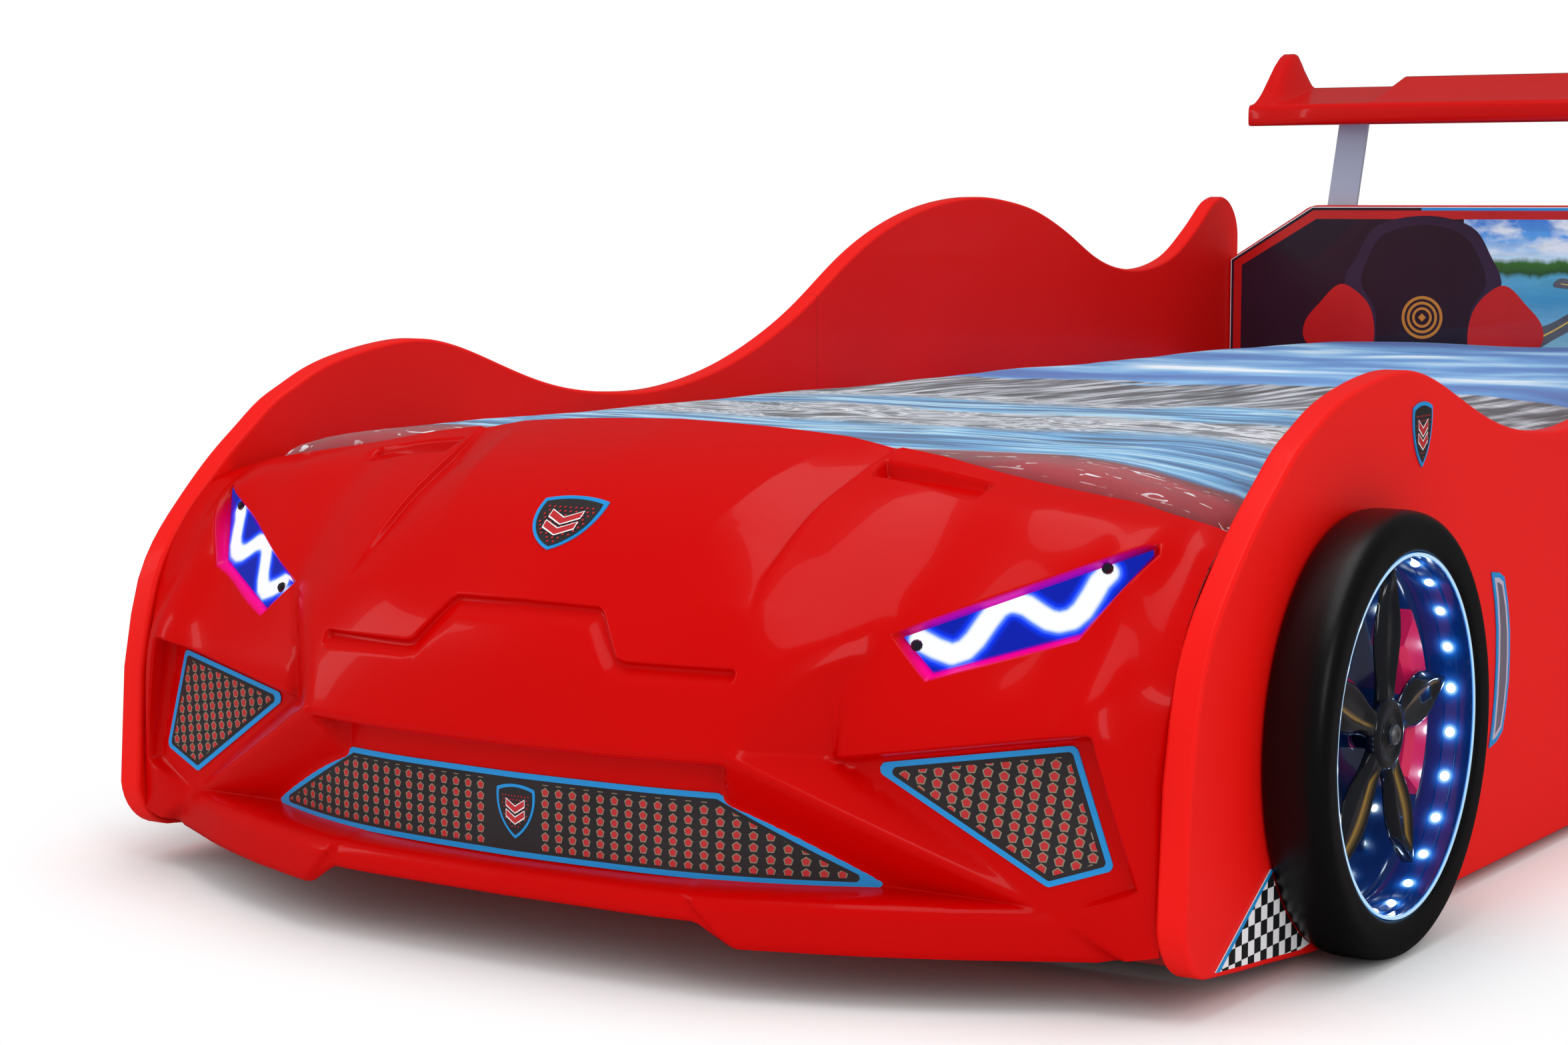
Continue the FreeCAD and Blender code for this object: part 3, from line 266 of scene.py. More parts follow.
def pressed(x, y):
    """Height change of the bonnet over (distance, station): a dome with slopes down to a
    valley on each side, a small step up to the wing, and the two vents."""
    inner = np.interp(y, *zip(*[(a, b) for a, b in CREASE_IN]))
    outer = np.interp(y, *zip(*[(a, b) for a, b in CREASE_OUT]))
    deep = np.interp(y, [42, 62, 100, 170, 222, 230], [0, 4.5, 10.5, 11, 5, 3.5])
    t = (x - inner) / (outer - inner)
    slope = soft_max(t, np.zeros_like(t), 0.16) - 0.04 * ease(1 - np.abs(t) / 0.2)
    valley = -deep * np.clip(slope, 0, 1.05)
    rise = ease((x - outer) / 5.0)
    wing = -0.42 * deep * (1 - ease((x - outer - 5) / 60))
    press = valley * (1 - rise) + wing * rise
    vent = ease((x - 195.5) / 3.0) * (1 - ease((x - 281) / 4.5))
    hollow = np.interp(x, [196, 285], [12.5, 6.5]) * np.clip((y - 186) / 23, 0, 1) * (1 - ease((y - 209) / 3.2))
    return press - vent * hollow


def shut_groove(x, z):
    """Depth of the pressed shut line: a sharp upper edge, a floor and a ramp that runs out below."""
    d, _ = line_distance(SHUT_LINE, x, z)
    ramp = np.interp(x, [64, 99], [13.0, 9.5])
    return 6.0 * ease(-d / 4.2) * (1 - ease((-d - 4.8) / ramp)) * (1 - ease((x - 180) / 7.0))


def shell_point(x, z):
    """A point of the shell's outer face, in mm of the frame, for x from the middle outwards."""
    y = front(x, z) + shut_groove(x, z)
    lower = pressed(x, y) * ease((z - 262) / 14)
    return np.stack([x, y + DATUM, z + lower], axis=-1)


# The mesh's rows are even steps of length over the middle section, counted from the nose line.
MIDDLE_Z = np.arange(NOSE_LINE, 384, 0.5)
MIDDLE_Y = read(NOSE_SKIN, np.zeros_like(MIDDLE_Z), MIDDLE_Z)
MIDDLE_RUN = NOSE_LINE + np.append(0, np.cumsum(np.hypot(np.diff(MIDDLE_Y), np.diff(MIDDLE_Z))))
TOP_ROW = float(MIDDLE_RUN[-1])


def row_level(s):
    """Level of a mesh row."""
    return np.where(s < NOSE_LINE, s, np.interp(s, MIDDLE_RUN, MIDDLE_Z))


def level_row(q):
    """Inverse of row_level."""
    return np.where(q < NOSE_LINE, q, np.interp(q, MIDDLE_Z, MIDDLE_RUN))


def moved_outline(corners, amount):
    """Corners of a polygon whose sides are moved inwards by an amount."""
    p = np.array(corners, float)
    area = np.sum(p[:, 0] * np.roll(p[:, 1], -1) - np.roll(p[:, 0], -1) * p[:, 1])
    d = np.roll(p, -1, axis=0) - p
    n = np.stack([-d[:, 1], d[:, 0]], 1) / np.hypot(*d.T)[:, None] * np.sign(area)
    a, b, na, nb = np.roll(d, 1, axis=0), d, np.roll(n, 1, axis=0), n
    cross = a[:, 0] * b[:, 1] - a[:, 1] * b[:, 0]
    t = ((nb - na)[:, 0] * b[:, 1] - (nb - na)[:, 1] * b[:, 0]) / cross * amount
    return p + na * amount + a * t[:, None]


def resample(line, step, closed):
    """Points about a step apart along a line, its own corners among them."""
    p = np.array(line, float)
    p = np.vstack([p, p[:1]]) if closed else p
    s = np.append(0, np.cumsum(np.hypot(*np.diff(p, axis=0).T)))
    n = max(int(round(s[-1] / step)), 2)
    q = np.unique(np.concatenate([np.linspace(0, s[-1], n + 1), s]).round(3))
    q = q[np.append(True, np.diff(q) > step * 0.35)]
    out = np.stack([np.interp(q, s, p[:, 0]), np.interp(q, s, p[:, 1])], 1)
    return out[:-1] if closed and np.allclose(out[0], out[-1], atol=1e-3) else out


def rib_points(along, across):
    """Points (x, z) beside the rib's crest: inverse of across_rib."""
    return np.stack([RIB_START[0] + along * RIB_DIR[0] - across * RIB_DIR[1],
                     RIB_START[1] + along * RIB_DIR[1] + across * RIB_DIR[0]], 1)


def feature_lines():
    """Lines of the mesh that follow the edges of the recesses: (points in (x, z), closed)."""
    lines = [(resample(moved_outline(LAMP, a), 4.0, True), True) for a in (-2.2, -0.8, 0.5, 2.2, 4.0, 6.0)]
    lines += [(resample(moved_outline(INTAKE, a), 5.0, True), True) for a in (-1.0, 0.6, 2.4, 4.6, 7.2)]
    p = np.array(SHUT_LINE, float)
    d = np.gradient(p, axis=0)
    n = np.stack([-d[:, 1], d[:, 0]], 1) / np.hypot(*d.T)[:, None]
    for a in (1.2, 0.0, -1.4, -2.8, -4.6, -7.0, -10.0, -13.0, -16.5):
        q = p + n * a
        q[0, 0] = 0.0
        lines.append((resample(q, 4.0, False), False))
    x, z = np.meshgrid(np.arange(0, 381, 5.0), np.arange(70, 84, 0.05), indexing="ij")
    shell, lip = front_parts(x, z)
    joint = z[0][np.argmax((lip > shell) & (z > 72), axis=1)]
    lines += [(np.stack([x[:, 0], joint + a], 1), False) for a in (-2.4, -1.5, -0.8, -0.3, 0.2, 0.8, 1.6, 2.6)]
    t = np.arange(0, RIB_LENGTH - 22, 5.0)
    for a in (-7.0, -4.0, -1.6, 0.0, 1.6, 4.0, 7.0):
        lines.append((rib_points(t, a), False))
    for a in (180.5, 183, 185.2, 187.4):
        lines.append((np.array([[a, 232.5], [a, 228], [a, 224], [a, 220], [a, 215.5]]), False))
    return lines


def bonnet_lines():
    """Lines that follow the bonnet's creases and vents, as (distance, station)."""
    y = np.arange(46, 231, 5.0)
    out = [np.stack([np.interp(y, *zip(*CREASE_OUT)) + a, y], 1) for a in (-2.5, 0, 1.7, 3.4, 5.2)]
    inn = [np.stack([np.interp(y, *zip(*CREASE_IN)) + a, y], 1) for a in (-4, 0, 4)]
    x = np.arange(194, 288, 4.0)
    vent = [np.stack([x, np.full_like(x, s)], 1) for s in (184.5, 187.5, 208, 209.6, 211, 212.4, 214)]
    s = np.arange(183.0, 215, 3.4)
    vent += [np.stack([np.full_like(s, a), s], 1) for a in (195.0, 196.6, 198.4, 280.5, 283, 286)]
    return out + inn + vent


def shell_mesh(step):
    """Triangles over (distance, row): a grid thinned near the feature lines, joined with them by
    a constrained Delaunay triangulation; the mirrored half and the wall inside are added after."""
    low = np.concatenate([np.linspace(CHIN, 60, 5), np.arange(62.0, 66, 1.0), np.arange(66.5, 80.2, 0.45),
                          np.arange(81, 151, step), np.arange(153, 162, 1.6), np.arange(162.5, 177, 1.3)])
    rows = np.concatenate([low, np.linspace(178.5, TOP_ROW, int((TOP_ROW - 178.5) / step))])
    columns = np.linspace(0, SHELL_HALF, int(SHELL_HALF / step) + 1)
    gx, gs = [a.ravel() for a in np.meshgrid(columns, rows)]
    chains = [(np.stack([p[:, 0], level_row(level(p[:, 0], p[:, 1]))], 1), closed) for p, closed in feature_lines()]
    zs = np.arange(240.0, 384.0, 0.5)
    for p in bonnet_lines():
        qx = np.repeat(p[:, :1], len(zs), 1)
        stations = read(NOSE_SKIN, qx, np.repeat(zs[None], len(p), 0))
        flank = flank_at(qx, np.repeat(zs[None], len(p), 0))
        stations = np.maximum.accumulate(np.minimum(stations, flank), axis=1)
        q = np.array([np.interp(b, row, zs) for (a, b), row in zip(p, stations)])
        chains.append((np.stack([p[:, 0], level_row(q)], 1), False))
    chains = [(c if closed else c[c[:, 1] < TOP_ROW], closed) for c, closed in chains]
    line_points = np.concatenate([c for c, _ in chains])
    line_points = line_points[line_points[:, 0] > 0]
    cell = 2.0
    marked = set()
    for ox in (-1, 0, 1):
        for oz in (-1, 0, 1):
            marked |= set(map(tuple, (np.floor(line_points / cell).astype(int) + [ox, oz]).tolist()))
    cells = np.floor(np.stack([gx, gs], 1) / cell).astype(int)
    edge = (gx < 0.1) | (gx > SHELL_HALF - 0.1) | (gs < CHIN + 0.1) | (gs > TOP_ROW - 0.1)
    free = np.array([tuple(c) not in marked for c in cells.tolist()]) | edge
    points, edges = [np.stack([gx, gs], 1)[free]], []
    count = len(points[0])
    for chain, closed in chains:
        n = len(chain)
        ring = [(count + i, count + i + 1) for i in range(n - 1)] + ([(count + n - 1, count)] if closed else [])
        edges += ring
        points.append(chain)
        count += n
    flat = np.concatenate(points)
    flat[:, 0] = np.clip(flat[:, 0], 0, SHELL_HALF)
    out = delaunay_2d_cdt([Vector(p) for p in flat.tolist()], edges, [], 0, 1e-4, False)
    uv, tris = np.array([(v.x, v.y) for v in out[0]]), np.array([f for f in out[2] if len(f) == 3])
    a, b, c = uv[tris[:, 0]], uv[tris[:, 1]], uv[tris[:, 2]]
    area = (b[:, 0] - a[:, 0]) * (c[:, 1] - a[:, 1]) - (b[:, 1] - a[:, 1]) * (c[:, 0] - a[:, 0])
    tris = np.where(area[:, None] < 0, tris[:, ::-1], tris)[np.abs(area) > 1e-4]
    return uv, tris


def shell_at(uv):
    """Points of the shell's outer face at (distance, row)."""
    x, q = uv[:, 0], row_level(uv[:, 1])
    z = height(x, q)
    chin = chin_height(x)
    z = np.where(q < 60, chin + (q - CHIN) / (60 - CHIN) * (60 - chin), z)
    return shell_point(x, z)


def put_mesh(name, points, faces, body, normals=None, smooth=True):
    """A mesh object from arrays of points in mm and corner indices; it rides on a body."""
    mesh = bpy.data.meshes.new(name)
    mesh.from_pydata((np.asarray(points) / 1000.0).tolist(), [], [list(map(int, f)) for f in faces])
    mesh.validate(clean_customdata=False)
    mesh.polygons.foreach_set("use_smooth", np.full(len(mesh.polygons), smooth))
    if normals is not None:
        mesh.normals_split_custom_set_from_vertices(np.asarray(normals).tolist())
    mesh.update()
    piece = bpy.data.objects.new(name, mesh)
    bpy.context.scene.collection.objects.link(piece)
    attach(piece, body)
    return piece


uv, tris = shell_mesh(5.0)
outer = shell_at(uv)
# Normals: the cross product of two short central differences, and where the shape is too sharp
# for that, the mean of the faces that meet, weighted by their angles.
step = 0.8
right = shell_at(np.stack([np.minimum(uv[:, 0] + step, SHELL_HALF), uv[:, 1]], 1))
left = shell_at(np.stack([np.maximum(uv[:, 0] - step, 0), uv[:, 1]], 1))
above = shell_at(np.stack([uv[:, 0], np.minimum(uv[:, 1] + step, uv[:, 1].max())], 1))
below = shell_at(np.stack([uv[:, 0], np.maximum(uv[:, 1] - step, CHIN)], 1))
facing = np.cross(right - left, above - below)
facing /= np.linalg.norm(facing, axis=1)[:, None]
corners = outer[tris]
flat_normal = np.cross(corners[:, 1] - corners[:, 0], corners[:, 2] - corners[:, 0])
flat_normal /= np.maximum(np.linalg.norm(flat_normal, axis=1), 1e-9)[:, None]
met = np.zeros_like(outer)
for k in range(3):
    p, q = corners[:, (k + 1) % 3] - corners[:, k], corners[:, (k + 2) % 3] - corners[:, k]
    sizes = np.linalg.norm(p, axis=1) * np.linalg.norm(q, axis=1)
    angle = np.arccos(np.clip((p * q).sum(1) / np.maximum(sizes, 1e-9), -1, 1))
    np.add.at(met, tris[:, k], flat_normal * angle[:, None])
met /= np.maximum(np.linalg.norm(met, axis=1), 1e-9)[:, None]
trust = ease(((facing * met).sum(1) - 0.93) / 0.05)[:, None]
facing = facing * trust + met * (1 - trust)
facing[uv[:, 0] < 0.01, 0] = 0
facing /= np.linalg.norm(facing, axis=1)[:, None]
# The other half is mirrored, and the wall is closed along the open edges.
middle = uv[:, 0] < 1e-4
twin = np.where(middle, np.arange(len(uv)), len(uv) + np.cumsum(~middle) - 1)
flip = np.array([-1.0, 1, 1])
points = np.vstack([outer, (outer * flip)[~middle]])
normals = np.vstack([facing, (facing * flip)[~middle]])
skin_faces = np.vstack([tris, twin[tris][:, ::-1]])
n = len(points)
inner = points - normals * SHELL_WALL
directed = np.vstack([skin_faces[:, [0, 1]], skin_faces[:, [1, 2]], skin_faces[:, [2, 0]]])
code = directed[:, 0] * np.int64(n) + directed[:, 1]
back = directed[:, 1] * np.int64(n) + directed[:, 0]
open_edges = directed[~np.isin(code, back)]
rim = np.vstack([np.stack([open_edges[:, 1], open_edges[:, 0], open_edges[:, 0] + n], 1),
                 np.stack([open_edges[:, 1], open_edges[:, 0] + n, open_edges[:, 1] + n], 1)])
faces = np.vstack([skin_faces, skin_faces[:, ::-1] + n, rim])
shell = put_mesh("bumper_shell", np.vstack([points, inner]), faces, "bed_frame", np.vstack([normals, -normals]))
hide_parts("front_bumper")


def new_material(name, base, rough, coat=0.0, metal=0.0):
    """A node material with its uniform values on the shader's own sockets."""
    m = bpy.data.materials.new(name)
    m.use_nodes = True
    shader = m.node_tree.nodes["Principled BSDF"]
    shader.inputs["Base Color"].default_value = (*base, 1)
    shader.inputs["Roughness"].default_value = rough
    shader.inputs["Coat Weight"].default_value = coat
    shader.inputs["Coat Roughness"].default_value = 0.04
    shader.inputs["Metallic"].default_value = metal
    return m, shader


def grain(material, shader, scale, height, tint, rough, cloud):
    """Fine surface texture of a finish: a noise bump in metres, a slow change of colour between
    two factors over clouds of the given number per metre, and a spread of roughness."""
    nodes, links = material.node_tree.nodes, material.node_tree.links
    where = nodes.new("ShaderNodeTexCoord")
    fine = nodes.new("ShaderNodeTexNoise")
    fine.inputs["Scale"].default_value = scale
    fine.inputs["Detail"].default_value = 3
    links.new(where.outputs["Object"], fine.inputs["Vector"])
    bump = nodes.new("ShaderNodeBump")
    bump.inputs["Distance"].default_value = height
    bump.inputs["Strength"].default_value = 1.0
    links.new(fine.outputs["Fac"], bump.inputs["Height"])
    links.new(bump.outputs["Normal"], shader.inputs["Normal"])
    slow = nodes.new("ShaderNodeTexNoise")
    slow.inputs["Scale"].default_value = cloud
    slow.inputs["Detail"].default_value = 2
    links.new(where.outputs["Object"], slow.inputs["Vector"])
    spread = nodes.new("ShaderNodeMapRange")
    spread.inputs["To Min"].default_value, spread.inputs["To Max"].default_value = rough
    links.new(slow.outputs["Fac"], spread.inputs["Value"])
    links.new(spread.outputs["Result"], shader.inputs["Roughness"])
    if tint:
        base = tuple(shader.inputs["Base Color"].default_value)
        mix = nodes.new("ShaderNodeMix")
        mix.data_type = "RGBA"
        mix.inputs["A"].default_value = tuple(c * tint[0] for c in base[:3]) + (1,)
        mix.inputs["B"].default_value = tuple(min(c * tint[1], 1) for c in base[:3]) + (1,)
        links.new(slow.outputs["Fac"], mix.inputs["Factor"])
        links.new(mix.outputs["Result"], shader.inputs["Base Color"])


def ramp_of(material, stops, constant=False):
    """A colour ramp node with (position, linear colour) stops."""
    node = material.node_tree.nodes.new("ShaderNodeValToRGB")
    node.color_ramp.interpolation = "CONSTANT" if constant else "LINEAR"
    elements = node.color_ramp.elements
    elements[0].position, elements[0].color = stops[0][0], (*stops[0][1], 1)
    elements[1].position, elements[1].color = stops[-1][0], (*stops[-1][1], 1)
    for at, colour in stops[1:-1]:
        elements.new(at).color = (*colour, 1)
    return node


def noise_of(material, vector, scale, detail=4.0, distortion=0.0):
    node = material.node_tree.nodes.new("ShaderNodeTexNoise")
    node.inputs["Scale"].default_value, node.inputs["Detail"].default_value = scale, detail
    node.inputs["Distortion"].default_value = distortion
    material.node_tree.links.new(vector, node.inputs["Vector"])
    return node


def stretch_of(material, factors):
    """Object coordinates multiplied by three factors."""
    where = material.node_tree.nodes.new("ShaderNodeTexCoord")
    node = material.node_tree.nodes.new("ShaderNodeVectorMath")
    node.operation = "MULTIPLY"
    node.inputs[1].default_value = factors
    material.node_tree.links.new(where.outputs["Object"], node.inputs[0])
    return node


def mixed(material, a, b, factor, mode="MIX"):
    """Mix node of two colour sockets or values by a factor socket or value."""
    node = material.node_tree.nodes.new("ShaderNodeMix")
    node.data_type, node.blend_type = "RGBA", mode
    for name, value in (("Factor", factor), ("A", a), ("B", b)):
        if isinstance(value, (int, float)):
            node.inputs[name].default_value = value
        elif isinstance(value, tuple):
            node.inputs[name].default_value = (*value, 1)
        else:
            material.node_tree.links.new(value, node.inputs[name])
    return node.outputs["Result"]


def calc(material, kind, a, b=0.0, clamp=False):
    """Math node of two sockets or values."""
    node = material.node_tree.nodes.new("ShaderNodeMath")
    node.operation, node.use_clamp = kind, clamp
    for i, value in enumerate((a, b)):
        if isinstance(value, (int, float)):
            node.inputs[i].default_value = value
        else:
            material.node_tree.links.new(value, node.inputs[i])
    return node.outputs["Value"]


red_shell, shader = new_material("red_moulded_plastic", (0.54, 0.0004, 0.0002), 0.3, 0.10)
shader.inputs["Specular IOR Level"].default_value = 0.06
grain(red_shell, shader, 260, 0.00005, (0.94, 1.05), (0.22, 0.30), 3.0)
painted_lamp_spill = red_shell.node_tree.nodes.new("ShaderNodeAttribute")
painted_lamp_spill.attribute_name = "painted_lamp_spill"
red_shell.node_tree.links.new(painted_lamp_spill.outputs["Color"], shader.inputs["Emission Color"])
shader.inputs["Emission Strength"].default_value = 1.0
# Painted light of the lamps on the recess walls, an emission of the shell: purple on the upper wall, magenta on the
# lower ones.
wall = inside_distance(LAMP, np.abs(points[:, 0]), points[:, 2])
on_wall = ease((wall + 0.4) / 1.6) * (1 - ease((wall - 8.0) / 3.0))
upper, _ = line_distance(LAMP[:2], np.abs(points[:, 0]), points[:, 2])
high = (upper > -6.5)[:, None]
fade = np.clip((424 - np.abs(points[:, 0])) / 40, 0, 1) * np.clip((np.abs(points[:, 0]) - 276) / 22, 0, 1)
# Colour of the painted lamp light, fading out towards both ends of the recess.
tint = np.where(high, [0.10, 0.004, 0.42], [0.42, 0.0, 0.30]) * (on_wall * fade)[:, None]
colour = np.column_stack([np.vstack([tint, np.zeros_like(tint)]), np.ones(2 * n)])
shell.data.attributes.new("painted_lamp_spill", "FLOAT_COLOR", "POINT").data.foreach_set("color", colour.ravel())
shell.data.materials.append(red_shell)

# ------------------------------------------------------------------ side panels
# Two 22 mm boards with a wavy top, lacquered satin red all round; every edge is rounded by
# sanding. Each board shows the faint joint of its two lengths at station 1173.
PANEL_TOP = [(117, 164), (128, 215), (140, 246), (157, 271), (181, 296), (207, 320), (233, 341), (260, 360),
             (285, 377), (311, 389), (337, 400), (388, 414), (440, 422), (488, 424), (533, 417.5),
             (590, 401), (652, 381.5), (716, 367), (784, 359.8), (854, 358), (920, 363.5),
             (1000, 379), (1078, 403.7), (1158, 438.7), (1241, 484), (1328, 520), (1418, 542.6),
             (1492, 552), (1546, 553.8), (1621, 547.8), (1672, 539.6), (1725, 525), (1779, 505),
             (1835, 481.5), (1885, 467), (1935, 460.5), (1985, 460.5), (2040, 468), (2085, 482),
             (2125, 503), (2165, 528), (2195, 547), (2222, 554.2)]


def arc(start, middle, end, count):
    """Points of the circle through three points, from the first to the last."""
    (ax, ay), (bx, by), (cx, cy) = start, middle, end
    d = 2 * (ax * (by - cy) + bx * (cy - ay) + cx * (ay - by))
    ux = ((ax * ax + ay * ay) * (by - cy) + (bx * bx + by * by) * (cy - ay) + (cx * cx + cy * cy) * (ay - by)) / d
    uy = ((ax * ax + ay * ay) * (cx - bx) + (bx * bx + by * by) * (ax - cx) + (cx * cx + cy * cy) * (bx - ax)) / d
    turns = [math.atan2(y - uy, x - ux) for x, y in (start, middle, end)]
    go = (turns[1] - turns[0] + math.pi) % (2 * math.pi) - math.pi
    to = (turns[2] - turns[1] + math.pi) % (2 * math.pi) - math.pi
    t = np.linspace(turns[0], turns[0] + go + to, count)
    r = math.hypot(ax - ux, ay - uy)
    return np.stack([ux + r * np.cos(t), uy + r * np.sin(t)], 1)


def rounded_slab(outline, depth, radius, steps=5):
    """Rings of points (along, up, out) of a slab with rounded rims, and its faces. The outline
    runs anticlockwise; a rim's point lies r(1 - sin t) inside it and r(1 - cos t) in depth."""
    p = np.array(outline, float)
    d = np.roll(p, -1, axis=0) - np.roll(p, 1, axis=0)
    n = np.stack([-d[:, 1], d[:, 0]], 1) / np.hypot(*d.T)[:, None]
    t = np.linspace(0, math.pi / 2, steps)
    rims = [(radius * (1 - math.sin(a)), radius * (1 - math.cos(a))) for a in t]
    levels = [(inset, out) for inset, out in rims] + [(inset, depth - out) for inset, out in rims[::-1]]
    rings = [np.column_stack([p + n * inset, np.full(len(p), out)]) for inset, out in levels]
    m = len(p)
    faces = [list(range(m))[::-1], [(len(rings) - 1) * m + i for i in range(m)]]
    for k in range(len(rings) - 1):
        a, b = k * m, (k + 1) * m
        faces += [(a + i, a + (i + 1) % m, b + (i + 1) % m, b + i) for i in range(m)]
    return np.vstack(rings), faces


def flatten_shading(piece):
    """Flat faces stay flat beside smooth rims: normals weighted by face size."""
    mod = piece.modifiers.new("weighted", "WEIGHTED_NORMAL")
    mod.keep_sharp = True


red_lacquer, lacquer_shader = new_material("red_satin_lacquer", (0.80, 0.006, 0.004), 0.42, 0.04)
lacquer_shader.inputs["Specular IOR Level"].default_value = 0.10
grain(red_lacquer, lacquer_shader, 900, 0.00004, (0.93, 1.04), (0.34, 0.44), 2.5)
nodes, links = red_lacquer.node_tree.nodes, red_lacquer.node_tree.links
where = nodes.new("ShaderNodeTexCoord")
split = nodes.new("ShaderNodeSeparateXYZ")
links.new(where.outputs["Object"], split.inputs["Vector"])
JOINT_AT, JOINT_HALF = (1173 + DATUM) / 1000, 0.0006     # the joint of the two lengths, in metres along Y
off_joint = calc(red_lacquer, "ABSOLUTE", calc(red_lacquer, "SUBTRACT", split.outputs["Y"], JOINT_AT))
joint = calc(red_lacquer, "LESS_THAN", off_joint, JOINT_HALF)
painted = lacquer_shader.inputs["Base Color"].links[0].from_socket
jointed = mixed(red_lacquer, painted, (0.50, 0.004, 0.003), calc(red_lacquer, "MULTIPLY", joint, 0.8))
links.new(jointed, lacquer_shader.inputs["Base Color"])
PANEL_THICK, PANEL_ROUND = 22.0, 3.6
station = np.arange(117.0, 2222.0, 9.0)
top = np.stack([station, spline(*zip(*PANEL_TOP), station)], 1)
low_corner = arc((155, 27), (124, 40), (110.8, 68), 10)
outline = np.vstack([top[::-1], low_corner[::-1][:-1], [(155, 27), (200, 22.2), (260, 16.9), (330, 10.0)],
                     np.stack([np.linspace(420, 2262, 30), np.full(30, 10.0)], 1),
                     arc((2266, 10.2), (2272.5, 12.5), (2274, 18), 5)[1:],
                     np.stack([np.full(12, 2274.0), np.linspace(40, 480, 12)], 1),
                     arc((2274, 495), (2258, 537), (2222, 554.2), 12)])
for side, node in ((1, "left_side_panel"), (-1, "right_side_panel")):
    rings, faces = rounded_slab(outline, PANEL_THICK, PANEL_ROUND)
    points = np.column_stack([side * (465.0 + rings[:, 2]), rings[:, 0] + DATUM, rings[:, 1]])
    faces = [f[::-1] for f in faces] if side < 0 else faces
    panel = put_mesh(node + "_board", points, faces, "bed_frame")
    flatten_shading(panel)
    panel.data.materials.append(red_lacquer)
    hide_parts(node)

# ------------------------------------------------------------------ wheels
# Four sham wheels on the panels: a satin black tyre ring, a glossy dark dish with a strip of
# star-bright lamps round its wall, two pink-red calipers and a black five-spoke star.
WHEEL_Z, WHEEL_FOOT = 164.5, 487.3      # height of the hub and outer face of the panel, mm
tyre_black, shader = new_material("tyre_satin_black", (0.0022, 0.0022, 0.003), 0.36, 0.0)
shader.inputs["Specular IOR Level"].default_value = 0.3
grain(tyre_black, shader, 700, 0.00005, (0.7, 1.4), (0.30, 0.42), 1.6)


def lathe(profile, turns):
    """Points (radius angle, out) of a closed profile turned about the wheel's axis."""
    a = np.arange(turns) * 2 * math.pi / turns
    rows = [np.column_stack([r * np.cos(a), r * np.sin(a), np.full(turns, w)]) for r, w in profile]
    m, faces = len(profile), []
    for k in range(m):
        b = (k + 1) % m
        faces += [(k * turns + i, k * turns + (i + 1) % turns, b * turns + (i + 1) % turns, b * turns + i)
                  for i in range(turns)]
    return np.vstack(rows), faces


def on_wheel(points, side, station):
    """Wheel coordinates (rearwards, up, outwards) in mm of the frame."""
    p = np.asarray(points, float)
    return np.column_stack([side * (WHEEL_FOOT + p[:, 2]), station + DATUM + p[:, 0], WHEEL_Z + p[:, 1]])


def wheel_mesh(name, points, faces, side, station, body, smooth=True):
    """A mesh given in wheel coordinates with faces that look outwards on the left side."""
    faces = [tuple(f)[::-1] for f in faces] if side < 0 else faces
    return put_mesh(name, on_wheel(points, side, station), faces, body, smooth=smooth)


tyre_profile = [(133.7, 0.3), (133.7, 40), (134.0, 43.2), (135.2, 45.6), (137.6, 46.9), (141.5, 47.4), (149, 47.8),
                (153, 47.9), (156.2, 47.3), (158.8, 45.7), (161.0, 43.2), (162.6, 39.8), (163.5, 35.6),
                (163.9, 30), (163.9, 14), (163.6, 9), (162.6, 4.6), (160.6, 1.6), (158, 0.3)]
WHEELS = [("front_left", 1, 388), ("front_right", -1, 388), ("rear_left", 1, 1640), ("rear_right", -1, 1640)]
for name, side, station in WHEELS:
    points, faces = lathe(tyre_profile, 160)
    tyre = wheel_mesh(name + "_tyre_ring", points, faces, side, station, "bed_frame")
    tyre.data.materials.append(tyre_black)
    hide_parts(name + "_tyre")

# Dish and wall: painted light of the lamps, an emission on the dish and its wall that falls off round each of the 24
# lamps; the dish's front rim is painted lit as well.
dish_blue, shader = new_material("dish_dark_blue", (0.002, 0.006, 0.03), 0.14, 0.5)
nodes, links = dish_blue.node_tree.nodes, dish_blue.node_tree.links
painted_led_glow = nodes.new("ShaderNodeAttribute")
painted_led_glow.attribute_name = "painted_led_glow"
ramp = ramp_of(dish_blue, [(0.0, (0, 0.003, 0.016)), (0.12, (0.0, 0.018, 0.13)), (0.34, (0.01, 0.14, 0.62)),
                           (0.62, (0.25, 0.62, 1.0)), (1.0, (0.8, 0.93, 1.0))])
links.new(painted_led_glow.outputs["Fac"], ramp.inputs["Fac"])
links.new(ramp.outputs["Color"], shader.inputs["Emission Color"])
shader.inputs["Emission Strength"].default_value = 1.0
LED_TURNS = np.radians(np.arange(24) * 15.0 + 7.5)
LED_RING, LED_OUT, LED_SIDES = 129.6, 27.0, 10     # radius and depth of the lamps, corners of a dome


def painted_led_light(points):
    """Painted lamp light at a point from its distances to the lamps: a bright core with a wide soft skirt."""
    p = np.asarray(points, float)
    lamps = np.column_stack([LED_RING * np.cos(LED_TURNS), LED_RING * np.sin(LED_TURNS), np.full(24, LED_OUT)])
    d = np.sqrt(((p[:, None] - lamps[None]) ** 2).sum(2))
    return (0.9 * np.exp(-(d / 4.6) ** 2) + 0.42 * np.exp(-d / 9)).sum(1)


def give_attribute(piece, name, values):
    """One value for each point of a piece, for its material to read by name."""
    piece.data.attributes.new(name, "FLOAT", "POINT").data.foreach_set("value", np.asarray(values, float))


